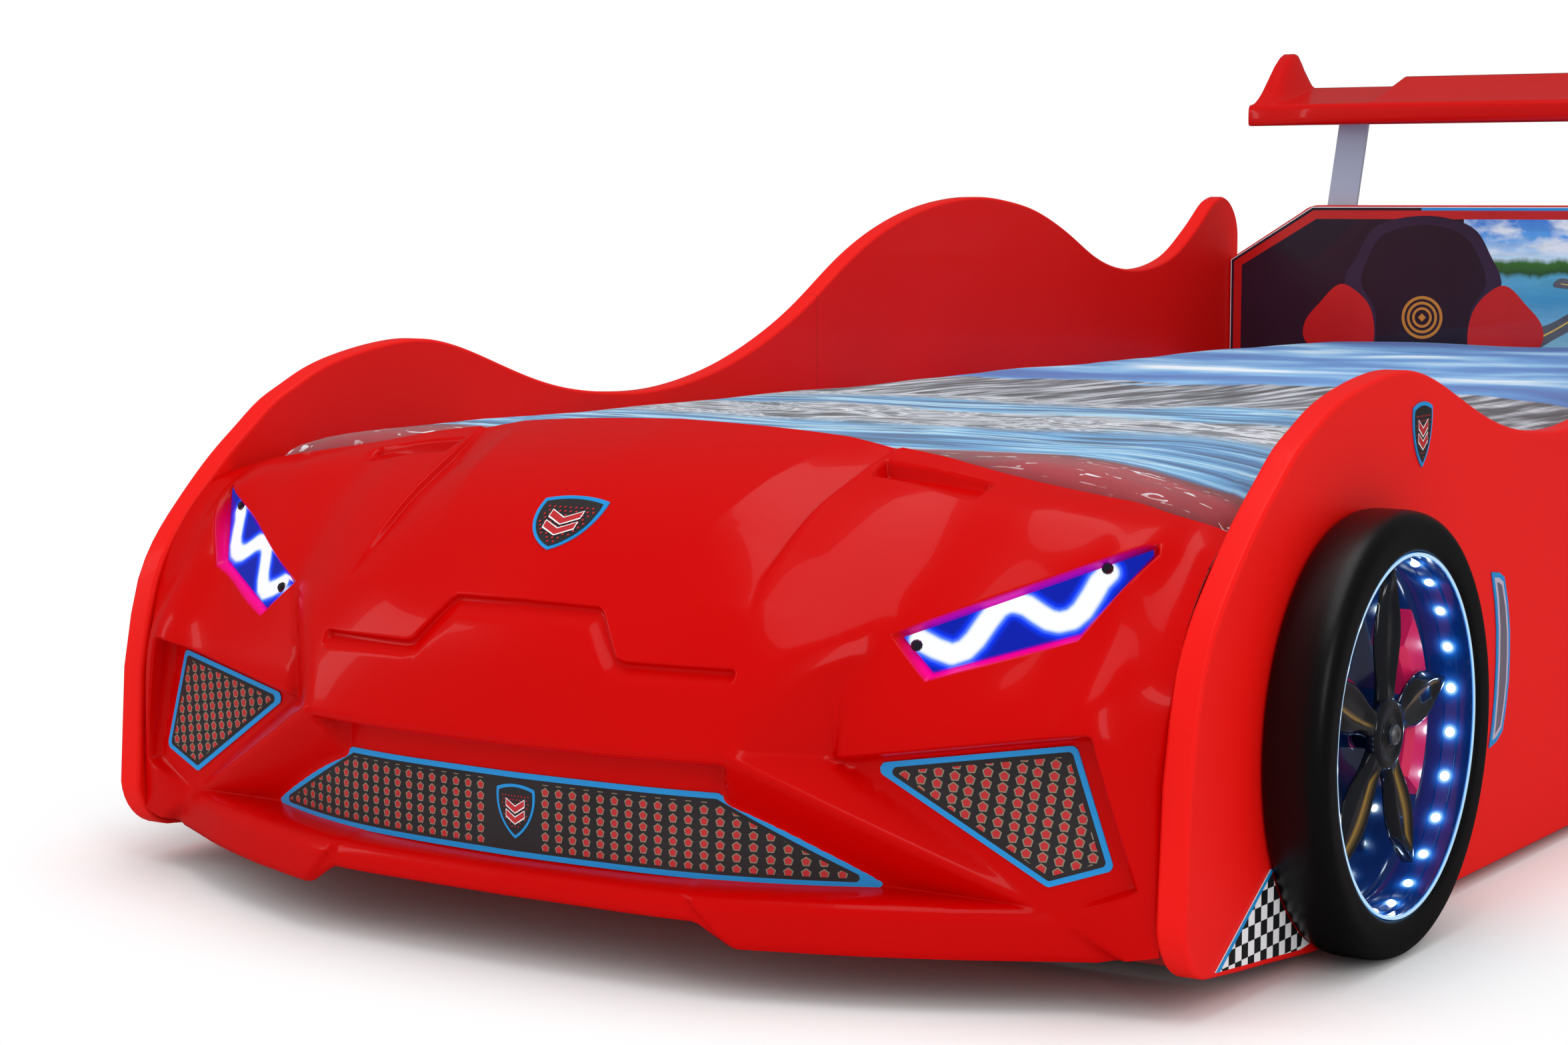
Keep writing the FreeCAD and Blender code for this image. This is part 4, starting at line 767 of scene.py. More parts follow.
dish_profile = [(9.0, 0.2), (9.0, 3.4)] + [(r, 3.4 + 2.2 * math.sin(math.pi * min(r, 110) / 110) ** 2)
                                         for r in np.linspace(16, 122, 18)]
dish_profile += [(127.5, 5.0), (130.2, 8.4)] + [(130.7, w) for w in np.linspace(12, 43, 14)]
dish_profile += [(131.1, 44.7), (133.2, 44.9), (133.3, 42), (133.3, 0.2)]
for name, side, station in WHEELS:
    points, faces = lathe(dish_profile, 288)
    dish = wheel_mesh(name + "_dish", points, faces, side, station, "bed_frame")
    # Painted light: the lamps' light on the dish, and its front rim beyond 44 mm out painted brightly lit.
    give_attribute(dish, "painted_led_glow", np.clip(painted_led_light(points) + 0.75 * (points[:, 2] > 44.0), 0, 1))
    dish.data.materials.append(dish_blue)
    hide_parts(name + "_wheel_pan")

# Lamp strip: a narrow band of the dish's own blue, with the same painted lamp light, and a domed lamp at every 15
# degrees.
star_mat, shader = new_material("lamp_core", (0.9, 0.95, 1.0), 0.3)
shader.inputs["Emission Color"].default_value = (0.72, 0.87, 1.0, 1)
shader.inputs["Emission Strength"].default_value = 9.0
grain(star_mat, shader, 300, 0.00001, (0.97, 1.0), (0.2, 0.3), 1.0)


def lamp_dome(turn):
    """Points and faces of one lamp: two bands of a dome, its cap and its back."""
    k, tip = LED_SIDES, 3 * LED_SIDES
    across, up = np.array([-math.sin(turn), math.cos(turn)]), np.array([math.cos(turn), math.sin(turn)])
    points = []
    for radius, rise in ((3.6, 0.0), (3.1, 1.1), (1.7, 1.9)):
        a = 2 * math.pi * np.arange(k) / k
        spot = up * (LED_RING - 0.1 - rise) + across * (radius * np.cos(a))[:, None]
        points += [(*q, LED_OUT + out) for q, out in zip(spot, radius * np.sin(a))]
    points += [(*(up * (LED_RING - 2.3)), LED_OUT), (*(up * LED_RING), LED_OUT)]
    faces = [(b + j, b + (j + 1) % k, b + k + (j + 1) % k, b + k + j) for b in (0, k) for j in range(k)]
    faces += [(2 * k + j, 2 * k + (j + 1) % k, tip) for j in range(k)]
    return points, faces + [((j + 1) % k, j, tip + 1) for j in range(k)]


for name, side, station in WHEELS:
    points, faces = lathe([(130.3, 21)] + [(LED_RING, w) for w in np.arange(21, 33.5, 1.5)] + [(130.3, 33)], 360)
    faces, cores, marks = [list(f) for f in faces], [], [0] * len(faces)
    for turn in LED_TURNS:
        base = len(points) + len(cores)
        dome, made = lamp_dome(turn)
        cores += dome
        faces += [[base + i for i in f] for f in made]
        marks += [1] * len(made)
    strip = wheel_mesh(name + "_lamp_band", np.vstack([points, cores]), faces, side, station, "bed_frame")
    strip.data.materials.append(dish_blue)
    strip.data.materials.append(star_mat)
    strip.data.polygons.foreach_set("material_index", np.array(marks))
    give_attribute(strip, "painted_led_glow", np.clip(painted_led_light(np.vstack([points, cores])), 0, 1))
    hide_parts(name + "_led_strip")

# Star: five leaf spokes, each with two ridges round a sunken trough, and a deep round hub.
star_black, shader = new_material("star_gloss_black", (0.008, 0.009, 0.013), 0.16, 0.8, 0.3)
nodes, links = star_black.node_tree.nodes, star_black.node_tree.links
trough = nodes.new("ShaderNodeAttribute")
trough.attribute_name = "gold"
paint = nodes.new("ShaderNodeMix")
paint.data_type = "RGBA"
paint.inputs["A"].default_value = (0.008, 0.009, 0.013, 1)
paint.inputs["B"].default_value = (0.42, 0.25, 0.05, 1)
links.new(trough.outputs["Fac"], paint.inputs["Factor"])
links.new(paint.outputs["Result"], shader.inputs["Base Color"])
grain(star_black, shader, 600, 0.00002, None, (0.12, 0.22), 2.0)
SPOKE_TURNS = [84, 12, -60, -132, 156]
SPOKE_WIDTH = [(14, 11.5), (24, 11.2), (34, 11.6), (46, 14.5), (58, 18.5), (71, 20.3), (84, 19), (96, 15.2),
               (108, 10), (117, 5.4), (121.5, 2.2)]


def spoke(turn):
    """Grid over (radius, across): height rises from the rim to two ridges at 0.62 of the half
    width and sinks to a trough between them; the underside is flat."""
    n, m = 44, 21
    r = np.linspace(20, 121.5, n)
    half = np.interp(r, *zip(*SPOKE_WIDTH))
    rr, uu = np.meshgrid(r, np.linspace(-1, 1, m), indexing="ij")
    hh = np.repeat(half[:, None], m, 1)
    ridge = np.exp(-((np.abs(uu) - 0.62) / 0.2) ** 2)
    deep = ease((rr - 26) / 16) * (1 - ease((rr - 96) / 18))
    rim = np.sqrt(np.clip(1 - uu ** 6, 0, 1))
    crown = 24.0 + 5.2 * rim - 4.4 * deep * (1 - ridge) * rim - 3.0 * ease((rr - 70) / 52) - 2.0 * (1 - rim)
    gold = deep * np.exp(-((np.abs(uu) - 0.30) / 0.10) ** 2) * (uu > 0)
    a = math.radians(turn)
    x, y = rr, uu * hh
    turned = (x * math.cos(a) - y * math.sin(a), x * math.sin(a) + y * math.cos(a), crown)
    top = np.column_stack([part.ravel() for part in turned])
    low = top.copy()
    low[:, 2] = 20.6
    faces = []
    for i in range(n - 1):
        for j in range(m - 1):
            q = (i * m + j, (i + 1) * m + j, (i + 1) * m + j + 1, i * m + j + 1)
            faces += [q, tuple(k + n * m for k in q[::-1])]
    border = [i * m for i in range(n)] + [(n - 1) * m + j for j in range(1, m)]
    border += [i * m + m - 1 for i in range(n - 2, -1, -1)] + list(range(m - 2, 0, -1))
    faces += [(b, a, a + n * m, b + n * m) for a, b in zip(border, border[1:] + border[:1])]
    return np.vstack([top, low]), faces, np.concatenate([gold.ravel(), np.zeros(n * m)])


hub_profile = [(4.2, 6), (12.6, 6), (13.0, 18), (24, 21), (26.6, 23.5), (26.9, 27.5), (25.8, 30.2), (23.4, 31.4),
               (20.6, 31.7), (18.8, 31.2), (17.6, 29.8), (10.4, 29.6), (9.4, 30.4), (8.6, 31.2), (4.2, 31.4)]
for name, side, station in WHEELS:
    points, faces = lathe(hub_profile, 72)
    points, faces, gold = [points], [list(f) for f in faces], [np.zeros(len(points))]
    base = len(points[0])
    for turn in SPOKE_TURNS:
        p, f, g = spoke(turn)
        points.append(p)
        gold.append(g)
        faces += [[base + i for i in q] for q in f]
        base += len(p)
    star = wheel_mesh(name + "_star", np.vstack(points), faces, side, station, name + "_spinner")
    give_attribute(star, "gold", np.concatenate(gold))
    star.data.materials.append(star_black)
    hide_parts(name + "_wheel_star")

# ------------------------------------------------------------------ lamp plates
# A clear plate 4 mm thick 6.7 mm down in each lamp recess, lit from behind by a wavy tube: the
# tube shows as a soft white band in deep blue. Its magenta edge light on the recess walls is painted light, an emission
# of the shell.
TUBE_LINE = [(290.5, 249.8), (302.2, 244.5), (313.3, 241.0), (320.8, 244.1), (325.5, 250.8), (330.6, 263.2),
             (334.9, 271.9), (339.6, 275.2), (345.0, 275.9), (352.9, 273.9), (361.5, 268.8), (369.0, 264.9),
             (375.7, 263.6), (383.4, 265.7), (388.4, 271.5), (392.3, 281.9), (394.8, 290.5), (398.8, 296.3)]
lamp_mat, shader = new_material("lit_lamp_plate", (0.0, 0.003, 0.06), 0.12, 0.3)
nodes, links = lamp_mat.node_tree.nodes, lamp_mat.node_tree.links
tube = nodes.new("ShaderNodeAttribute")
tube.attribute_name = "tube"
ramp = ramp_of(lamp_mat, [(0.40, (1.0, 1.0, 1.0)), (0.48, (0.72, 0.82, 1.0)), (0.60, (0.09, 0.22, 1.0)),
                          (0.76, (0.0, 0.035, 0.90)), (1.0, (0.0, 0.008, 0.36))])
links.new(tube.outputs["Fac"], ramp.inputs["Fac"])
links.new(ramp.outputs["Color"], shader.inputs["Emission Color"])
shader.inputs["Emission Strength"].default_value = 1.0
PLATE_DOWN, PLATE_THICK = 6.7, 4.0


def on_lamp(p):
    """Points of the plate's outer face at (x, z)."""
    return np.column_stack([p[:, 0], lamp_plane(p[:, 0], p[:, 1], PLATE_DOWN), p[:, 1]])


tube_space = on_lamp(resample(TUBE_LINE, 1.0, False))
plate_edge = resample(moved_outline(LAMP, 5.0), 1.6, True)
gx, gz = [a.ravel() for a in np.meshgrid(np.arange(262, 436, 1.6), np.arange(218, 324, 1.6))]
keep = inside_distance(plate_edge, gx, gz) > 0.8
flat = np.vstack([plate_edge, np.column_stack([gx[keep], gz[keep]])])
ring = [(i, (i + 1) % len(plate_edge)) for i in range(len(plate_edge))]
cut = delaunay_2d_cdt([Vector(p) for p in flat.tolist()], ring, [], 1, 1e-4, False)
flat, tri = np.array([(v.x, v.y) for v in cut[0]]), [list(f) for f in cut[2]]
space = on_lamp(flat)
distance = np.sqrt(((space[:, None] - tube_space[None]) ** 2).sum(2)).min(1)
normal = np.array([0.336, -0.825, 0.456])
n, m = len(space), len(plate_edge)
a, b, c = [space[[f[k] for f in tri]] for k in range(3)]
if (np.cross(b - a, c - a) @ normal).sum() < 0:
    tri = [f[::-1] for f in tri]
both = np.vstack([space, space - normal * PLATE_THICK]) + [0, DATUM, 0]
wall = [[i, (i + 1) % m, (i + 1) % m + n, i + n] for i in range(m)]
q = both[wall[0]]
if np.dot(np.cross(q[1] - q[0], q[2] - q[0]), q[0] - both[:n].mean(0)) < 0:
    wall = [w[::-1] for w in wall]
plate_faces = tri + [[i + n for i in f[::-1]] for f in tri] + wall
for side, name in ((1, "left"), (-1, "right")):
    faces = plate_faces if side > 0 else [f[::-1] for f in plate_faces]
    plate = put_mesh(name + "_lamp_pane", both * [side, 1, 1], faces, "bed_frame", smooth=False)
    give_attribute(plate, "tube", np.tile(np.clip(distance / 14.0, 0, 1), 2))
    plate.data.materials.append(lamp_mat)
    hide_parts(name + "_lamp_plate", name + "_lamp_tube")

# ------------------------------------------------------------------ printed trim sheets
# Thin self-adhesive sheets: blue outline, dark field, columns of small red pentagons with a pale
# outline; shields with a plain chevron; chequers and a bent vent on the side panels.


def inks(scale, bump, table):
    """Print colours from (name, linear colour, roughness, coat, tint, roughness spread, clouds)."""
    made = []
    for name, base, rough, coat, tint, spread, cloud in table:
        ink, shader = new_material(name, base, rough, coat)
        grain(ink, shader, scale, bump, tint, spread, cloud)
        made.append(ink)
    return made


print_blue, print_dark, print_pale, print_red, print_white, print_black, print_lilac, print_grey = inks(1500, 0.00001, [
    ("print_blue", (0.0, 0.27, 0.68), 0.35, 0.2, (0.93, 1.06), (0.3, 0.42), 8),
    ("print_dark", (0.024, 0.019, 0.022), 0.42, 0.15, (0.7, 1.4), (0.36, 0.5), 12),
    ("print_pale_outline", (0.25, 0.21, 0.14), 0.42, 0.0, (0.85, 1.1), (0.4, 0.5), 12),
    ("print_red", (0.50, 0.010, 0.016), 0.42, 0.0, (0.85, 1.15), (0.36, 0.5), 12),
    ("print_white", (0.86, 0.86, 0.88), 0.4, 0.0, (0.95, 1.0), (0.36, 0.46), 12),
    ("print_black", (0.012, 0.012, 0.014), 0.4, 0.0, (0.7, 1.3), (0.36, 0.46), 12),
    ("print_lilac", (0.52, 0.45, 0.60), 0.4, 0.0, (0.85, 1.1), (0.36, 0.46), 12),
    ("print_grey", (0.13, 0.11, 0.15), 0.4, 0.0, (0.6, 1.6), (0.36, 0.46), 9)])
PRINTS = [print_dark, print_blue, print_pale, print_red, print_white, print_black, print_lilac, print_grey]
DARK, BLUE, PALE, RED, WHITE, BLACK, LILAC, GREY = range(8)


def printed(name, layers, place, body, thick, swap=False):
    """Flat shapes laid on each other: each layer is (outline, height of its face, print), and
    place maps (along, up, height) to mm of the frame. Each shape is a closed thin slab."""
    points, faces, marks, base = [], [], [], 0
    for outline, lift, ink in layers:
        p = np.array(outline, float)
        area = np.sum(p[:, 0] * np.roll(p[:, 1], -1) - np.roll(p[:, 0], -1) * p[:, 1])
        p = p if area > 0 else p[::-1]
        m = len(p)
        low = lift - thick if lift <= thick + 1e-6 else lift - 0.12
        points += [np.column_stack([p, np.full(m, lift)]), np.column_stack([p, np.full(m, low)])]
        made = [[base + i for i in range(m)], [base + m + i for i in range(m)][::-1]]
        made += [[base + m + i, base + m + (i + 1) % m, base + (i + 1) % m, base + i] for i in range(m)]
        faces += made
        marks += [ink] * len(made)
        base += 2 * m
    world = place(np.vstack(points))
    faces = [f[::-1] for f in faces] if swap else faces
    piece = put_mesh(name, world, faces, body, smooth=False)
    for ink in PRINTS:
        piece.data.materials.append(ink)
    piece.data.polygons.foreach_set("material_index", np.array(marks))
    return piece


def cut_to(shape, ring):
    """A convex shape cut by each side of a convex ring in turn: points beyond a side are dropped
    and its crossings with the side kept."""
    area, ring = np.array(shape, float), np.array(ring, float)
    turn = np.sign(np.sum(ring[:, 0] * np.roll(ring[:, 1], -1) - np.roll(ring[:, 0], -1) * ring[:, 1]))
    for a, b in zip(ring, np.roll(ring, -1, 0)):
        if len(area) < 3:
            return area
        beyond = turn * ((b[0] - a[0]) * (area[:, 1] - a[1]) - (b[1] - a[1]) * (area[:, 0] - a[0]))
        kept = []
        for q, r, dq, dr in zip(area, np.roll(area, -1, 0), beyond, np.roll(beyond, -1)):
            kept += [q] if dq >= 0 else []
            kept += [q + (r - q) * dq / (dq - dr)] if dq * dr < 0 else []
        area = np.array(kept)
    return area


def round_corners(polygon, radius):
    """Each corner replaced by an arc of the radius that touches both of its sides."""
    p, out = np.array(polygon, float), []
    for before, corner, after in zip(np.roll(p, 1, 0), p, np.roll(p, -1, 0)):
        u, v = before - corner, after - corner
        u, v = u / np.hypot(*u), v / np.hypot(*v)
        half = math.acos(float(np.clip(u @ v, -1, 1))) / 2
        centre = corner + (u + v) / np.hypot(*(u + v)) * radius / math.sin(half)
        first, last = corner + u * radius / math.tan(half) - centre, corner + v * radius / math.tan(half) - centre
        for t in np.linspace(0, 1, 7):
            chord = first * (1 - t) + last * t
            out.append(centre + chord / np.hypot(*chord) * radius)
    return np.array(out)


def pentagons(field, columns, rows, lean, drop, size, margin):
    """Pentagons in leaning columns, cut by a polygon: a pale outline with red on it."""
    p, ring, out = np.array(field), moved_outline(field, margin), []
    for i, x in enumerate(np.arange(p[:, 0].min() + 2, p[:, 0].max(), columns)):
        for k, z in enumerate(np.arange(p[:, 1].min() - 60, p[:, 1].max() + 60, rows)):
            cx, cz = x + lean * (z - p[:, 1].mean()), z + (i * drop) % rows
            if inside_distance(ring, np.array([cx]), np.array([cz]))[0] < -size:
                continue
            for share, lift, ink in ((1.0, 0.24, PALE), (0.74, 0.30, RED)):
                turn = np.pi / 2 + np.arange(5) * 2 * math.pi / 5
                five = np.column_stack([cx + size * share * np.cos(turn), cz + size * share * np.sin(turn)])
                shape = cut_to(five, ring)
                if len(shape) > 2:
                    out.append((shape, lift, ink))
    return out


# Side intakes: flat sheets on the tilted floor of their pockets.
INTAKE_SHEET = [(264.3, 164.6), (406.9, 186.1), (433.7, 102.8), (389.5, 87.7)]
inner_edge = moved_outline(INTAKE_SHEET, 4.0)
for side, name in ((1, "left"), (-1, "right")):
    layers = [(round_corners(INTAKE_SHEET, 5.0), 0.0, BLUE), (round_corners(inner_edge, 3.5), 0.12, DARK)]
    layers += pentagons(inner_edge, 11.2, 8.0, 0.12, -2.0, 4.1, 3.0)
    place = lambda p, s=side: np.column_stack([s * (p[:, 0] - 0.2446 * (p[:, 2] + 1.0)),
                                               intake_plane(p[:, 0], p[:, 1]) + DATUM - (p[:, 2] + 1.0) * 1.03,
                                               p[:, 1]])
    sheet = printed(name + "_intake_print", layers, place, "bed_frame", 0.6, swap=side < 0)
    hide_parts(name + "_intake_sheet")

# Grille: one long sheet bent over the curved floor between the ribs.
GRILLE_SHEET = [(-166.2, 139.6), (166.2, 139.6), (288.4, 77.6), (-288.4, 77.6)]
grille_y = lambda x: np.interp(np.abs(x), np.arange(0, 466.0), spline(*zip(*GRILLE), np.arange(0, 466.0)))
outer_edge, inner_edge = round_corners(GRILLE_SHEET, 4.0), moved_outline(GRILLE_SHEET[::-1], 4.2)


def strips(poly, lift, ink, width=12.0):
    """A wide polygon cut into upright strips, so that it can follow a curved floor."""
    p = [tuple(q) for q in poly]
    xs = np.array([q[0] for q in p])
    cuts = np.unique(np.concatenate([np.arange(math.ceil(xs.min() / width) * width, xs.max(), width), xs.round(4)]))
    out = []
    for a, b in zip(cuts[:-1], cuts[1:]):
        spans = []
        for x in (a + 1e-6, b - 1e-6):
            zs = []
            for (x0, z0), (x1, z1) in zip(p, p[1:] + p[:1]):
                if min(x0, x1) - 1e-3 <= x <= max(x0, x1) + 1e-3 and abs(x0 - x1) > 1e-3:
                    zs.append(z0 + (z1 - z0) * (x - x0) / (x1 - x0))
            spans.append((min(zs), max(zs)))
        (lo0, hi0), (lo1, hi1) = spans
        quad = [(a, lo0), (b, lo1), (b, hi1), (a, hi0)]
        quad = [q for i, q in enumerate(quad) if math.dist(q, quad[i - 1]) > 0.05]
        if len(quad) > 2:
            out.append((quad, lift, ink))
    return out


layers = strips(outer_edge, 0.0, BLUE) + strips(round_corners(inner_edge, 3.0), 0.12, DARK)
BADGE_ROOM = 22.0        # no pentagons this near the middle, where the badge sits
layers += [row for row in pentagons(inner_edge, 11.8, 8.1, 0.0, 0.0, 3.7, 2.6)
           if abs(np.mean([q[0] for q in row[0]])) >= BADGE_ROOM]
place = lambda p: np.column_stack([p[:, 0], grille_y(p[:, 0]) + DATUM - 1.0 - p[:, 2], p[:, 1]])
sheet = printed("grille_print", layers, place, "bed_frame", 0.6)
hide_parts("grille_sheet")


def shield(width, height):
    """Outline of a shield: a slightly crowned top and two bowed sides down to a point."""
    w, h = width / 2, height
    top = arc((w, h * 0.42), (0, h * 0.5), (-w, h * 0.42), 9)
    left = arc((-w, h * 0.42), (-w * 0.80, -h * 0.12), (0, -h * 0.5), 12)
    right = arc((0, -h * 0.5), (w * 0.80, -h * 0.12), (w, h * 0.42), 12)
    return np.vstack([top, left[1:], right[1:-1]])


def emblem_layers(width, height):
    """Blue rim, dark dotted field and a plain red chevron edged in white."""
    layers = [(shield(width, height), 1.0, BLUE), (shield(width * 0.88, height * 0.88), 1.12, DARK)]
    w, h = width, height
    for i in range(-4, 5):
        for k in range(-6, 5):
            x, z = i * w * 0.085 + (k % 2) * w * 0.042, k * h * 0.07
            if inside_distance(shield(width * 0.80, height * 0.80), np.array([x]), np.array([z]))[0] > 0.9:
                dot = [(x + w * 0.018 * math.cos(q), z + w * 0.018 * math.sin(q)) for q in np.arange(6) * math.pi / 3]
                layers.append((dot, 1.2, RED))
    for grow, lift, ink in ((1.0, 1.32, WHITE), (0.72, 1.42, RED)):
        t = 0.075 * h * grow
        for z in (0.16 * h, -0.04 * h):
            s = 0.25 * w + (grow - 1) * 0.05 * w
            layers.append(([(-s, z + t), (0, z - 0.13 * h + t), (0, z - 0.13 * h - t), (-s, z - t)], lift, ink))
            layers.append(([(s, z + t), (s, z - t), (0, z - 0.13 * h - t), (0, z - 0.13 * h + t)], lift, ink))
    return layers


badge = printed("grille_badge", emblem_layers(34, 40), lambda p: np.column_stack(
    [p[:, 0], grille_y(p[:, 0]) + DATUM - 0.6 - p[:, 2], p[:, 1] + 111]), "bed_frame", 1.0)
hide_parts("grille_emblem")


def on_bonnet(p):
    """(across, up the slope, height) laid on the bonnet round the badge's middle."""
    z = 315.4 + p[:, 1] * 0.64
    x = np.abs(p[:, 0])
    base = shell_point(x, z)
    rise = np.array([0, -0.67, 0.74])
    return np.column_stack([p[:, 0], base[:, 1], base[:, 2]]) + p[:, 2:3] * rise


badge = printed("bonnet_badge", emblem_layers(58, 56), on_bonnet, "bed_frame", 1.0)
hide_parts("bonnet_emblem")
VENT = [(672, 253), (690, 251), (702, 246), (712, 224), (718, 200), (719, 180), (718, 160), (713, 138), (706, 119),
        (692, 112), (676, 109), (682, 128), (686, 150), (688, 178), (687, 205), (682, 228)]


def chequer(outline, straight, cell, lift, tyre=None):
    """Black squares on a white ground, cut by a polygon of straight sides and, where the sheet
    meets the tyre (middle, radius), by the circle's tangent next to each square."""
    p = np.array(outline)
    out = [(outline, lift, WHITE)]
    for i in range(int(p[:, 0].min() // cell), int(p[:, 0].max() // cell) + 1):
        for k in range(int(p[:, 1].min() // cell), int(p[:, 1].max() // cell) + 1):
            if (i + k) % 2:
                continue
            x, z = i * cell, k * cell
            area = cut_to([(x, z), (x + cell, z), (x + cell, z + cell), (x, z + cell)], straight)
            if tyre is not None and len(area) > 2:
                away = area.mean(0) - tyre[0]
                away /= np.hypot(*away)
                touch, along = np.array(tyre[0]) + away * tyre[1], np.array([-away[1], away[0]]) * 99
                beyond = away * 200
                area = cut_to(area, [touch - along, touch - along + beyond, touch + along + beyond, touch + along])
            if len(area) > 2:
                out.append((area, lift + 0.12, BLACK))
    return out


for side, name in ((1, "left"), (-1, "right")):
    place = lambda p, s=side: np.column_stack([s * (WHEEL_FOOT + p[:, 2]), p[:, 0] + DATUM, p[:, 1]])
    layers = [([(515 + a, 374 + b) for a, b in outline], lift, ink) for outline, lift, ink in emblem_layers(38, 50)]
    badge = printed(name + "_side_badge", layers, place, "bed_frame", 1.0, swap=side < 0)
    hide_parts(name + "_side_emblem")
    layers = [(VENT, 0.8, BLUE), (moved_outline(VENT, 4.2), 0.92, LILAC), (moved_outline(VENT, 8.0), 1.04, GREY)]
    vent = printed(name + "_vent_print", layers, place, "bed_frame", 0.8, swap=side < 0)
    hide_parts(name + "_vent_sheet")
    r, CELL = 161.2, 10.5      # the front sheet ends under the tyre's bulge
    under_tyre = [(388 - r * math.sin(math.radians(t)), WHEEL_Z - r * math.cos(math.radians(t))) for t in (61, 40, 26)]
    wheel_side = [tuple(q) for q in arc(*under_tyre, 10)]
    tip = wheel_side[0]
    front_flag = [(158, 31), (300, 18.5)] + wheel_side[::-1]
    blue_line = [(158, 31), (164, 30.4), (tip[0] + 3.2, tip[1] - 1.5), tip]
    rear_flag = [(502, 15), (585, 15), (545, 42), (503, 49)]
    layers = chequer(front_flag, [(158, 31), (300, 18.5), (340, 120), tip], CELL, 0.8, ((388, WHEEL_Z), r))
    layers += [(blue_line, 1.04, BLUE)] + chequer(rear_flag, rear_flag, CELL, 0.8)
    layers.append(([(582, 15), (585, 15), (545, 42), (503, 49), (503, 46.5), (544, 39.6)], 1.04, BLUE))
    flags = printed(name + "_chequer_print", layers, place, "bed_frame", 0.8, swap=side < 0)
    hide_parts(name + "_chequer_sheets")

# ------------------------------------------------------------------ headboard
# An 18 mm board with rounded upper corners, lined with one printed sheet: a red line inside the
# edge, a dark band, two seat backs with red side bolsters, and a lake scene between and above.
# The scene is a plain generic one: sky with clouds, a line of trees, water and a road.
HEAD_Y, HEAD_HALF, HEAD_TOP, HEAD_SHOULDER, HEAD_SIDE = 2246.0, 464.7, 542.9, 345.0, 469.0
board_red, shader = new_material("headboard_lacquer", (0.66, 0.010, 0.008), 0.4, 0.06)
grain(board_red, shader, 900, 0.00004, (0.9, 1.06), (0.36, 0.48), 2.5)
print_night, print_seat, print_bolster, print_ring, road_grey, road_yellow = inks(900, 0.00002, [
    ("print_night", (0.012, 0.006, 0.017), 0.34, 0.3, (0.6, 1.7), (0.28, 0.42), 6),
    ("print_seat_purple", (0.022, 0.010, 0.034), 0.36, 0.25, (0.5, 1.9), (0.3, 0.44), 7),
    ("print_seat_red", (0.62, 0.006, 0.006), 0.34, 0.3, (0.75, 1.15), (0.3, 0.42), 9),
    ("print_orange", (0.62, 0.24, 0.03), 0.36, 0.2, (0.85, 1.1), (0.3, 0.42), 20),
    ("print_road", (0.10, 0.11, 0.13), 0.36, 0.2, (0.6, 1.5), (0.3, 0.42), 30),
    ("print_road_line", (0.75, 0.52, 0.10), 0.36, 0.2, (0.85, 1.1), (0.3, 0.42), 30)])
print_scene, shader = new_material("print_lake_scene", (0.2, 0.5, 0.8), 0.34, 0.3)
nodes, links = print_scene.node_tree.nodes, print_scene.node_tree.links

where = nodes.new("ShaderNodeTexCoord")
split = nodes.new("ShaderNodeSeparateXYZ")
links.new(where.outputs["Object"], split.inputs["Vector"])
WATER_TO_SKY = [(0.0, (0.30, 0.62, 0.78)), (0.36, (0.05, 0.34, 0.62)), (0.52, (0.10, 0.42, 0.62)),
                (0.555, (0.02, 0.10, 0.02)), (0.62, (0.04, 0.17, 0.02)), (0.66, (0.62, 0.82, 0.95)),
                (0.80, (0.10, 0.38, 0.85)), (1.0, (0.01, 0.09, 0.52))]
height_ramp = ramp_of(print_scene, WATER_TO_SKY)
up = nodes.new("ShaderNodeMapRange")
up.inputs["From Min"].default_value, up.inputs["From Max"].default_value = 0.350, 0.540
wobble = noise_of(print_scene, stretch_of(print_scene, (60, 60, 20)).outputs["Vector"], 1.0, 5)
uneven = calc(print_scene, "MULTIPLY", calc(print_scene, "SUBTRACT", wobble.outputs["Fac"], 0.5), 0.016)
links.new(calc(print_scene, "ADD", split.outputs["Z"], uneven), up.inputs["Value"])
links.new(up.outputs["Result"], height_ramp.inputs["Fac"])
clouds = noise_of(print_scene, stretch_of(print_scene, (16, 16, 34)).outputs["Vector"], 1.0, 8)
cloud_cover = ramp_of(print_scene, [(0.48, (0, 0, 0)), (0.62, (1, 1, 1))])
links.new(clouds.outputs["Fac"], cloud_cover.inputs["Fac"])
over_trees = calc(print_scene, "GREATER_THAN", split.outputs["Z"], 0.4775)
above = calc(print_scene, "MULTIPLY", cloud_cover.outputs["Color"], over_trees)
with_clouds = mixed(print_scene, height_ramp.outputs["Color"], (0.86, 0.92, 0.97), above)
ripple = noise_of(print_scene, stretch_of(print_scene, (22, 22, 160)).outputs["Vector"], 1.0, 3)
rippled = mixed(print_scene, (0.55, 0.55, 0.55), (1.35, 1.35, 1.35), ripple.outputs["Fac"])
links.new(mixed(print_scene, with_clouds, rippled, 0.5, "MULTIPLY"), shader.inputs["Base Color"])
PRINTS = [board_red, print_night, print_seat, print_bolster, print_ring, print_scene, road_grey, road_yellow,
          print_white, print_blue]
NIGHT, SEAT, BOLSTER, RING, SCENE, ROAD, LINE, PURE, SKYBLUE = range(1, 10)


def smooth_line(points, count=60, closed=True):
    """A closed smooth curve through points, as a natural spline over its chord."""
    p = np.array(points, float)
    p = np.vstack([p[-2:], p, p[:3]]) if closed else p
    s = np.append(0, np.cumsum(np.hypot(*np.diff(p, axis=0).T)))
    q = np.linspace(s[2], s[-3], count + 1)[:-1] if closed else np.linspace(0, s[-1], count)
    return spline(s, p, q)


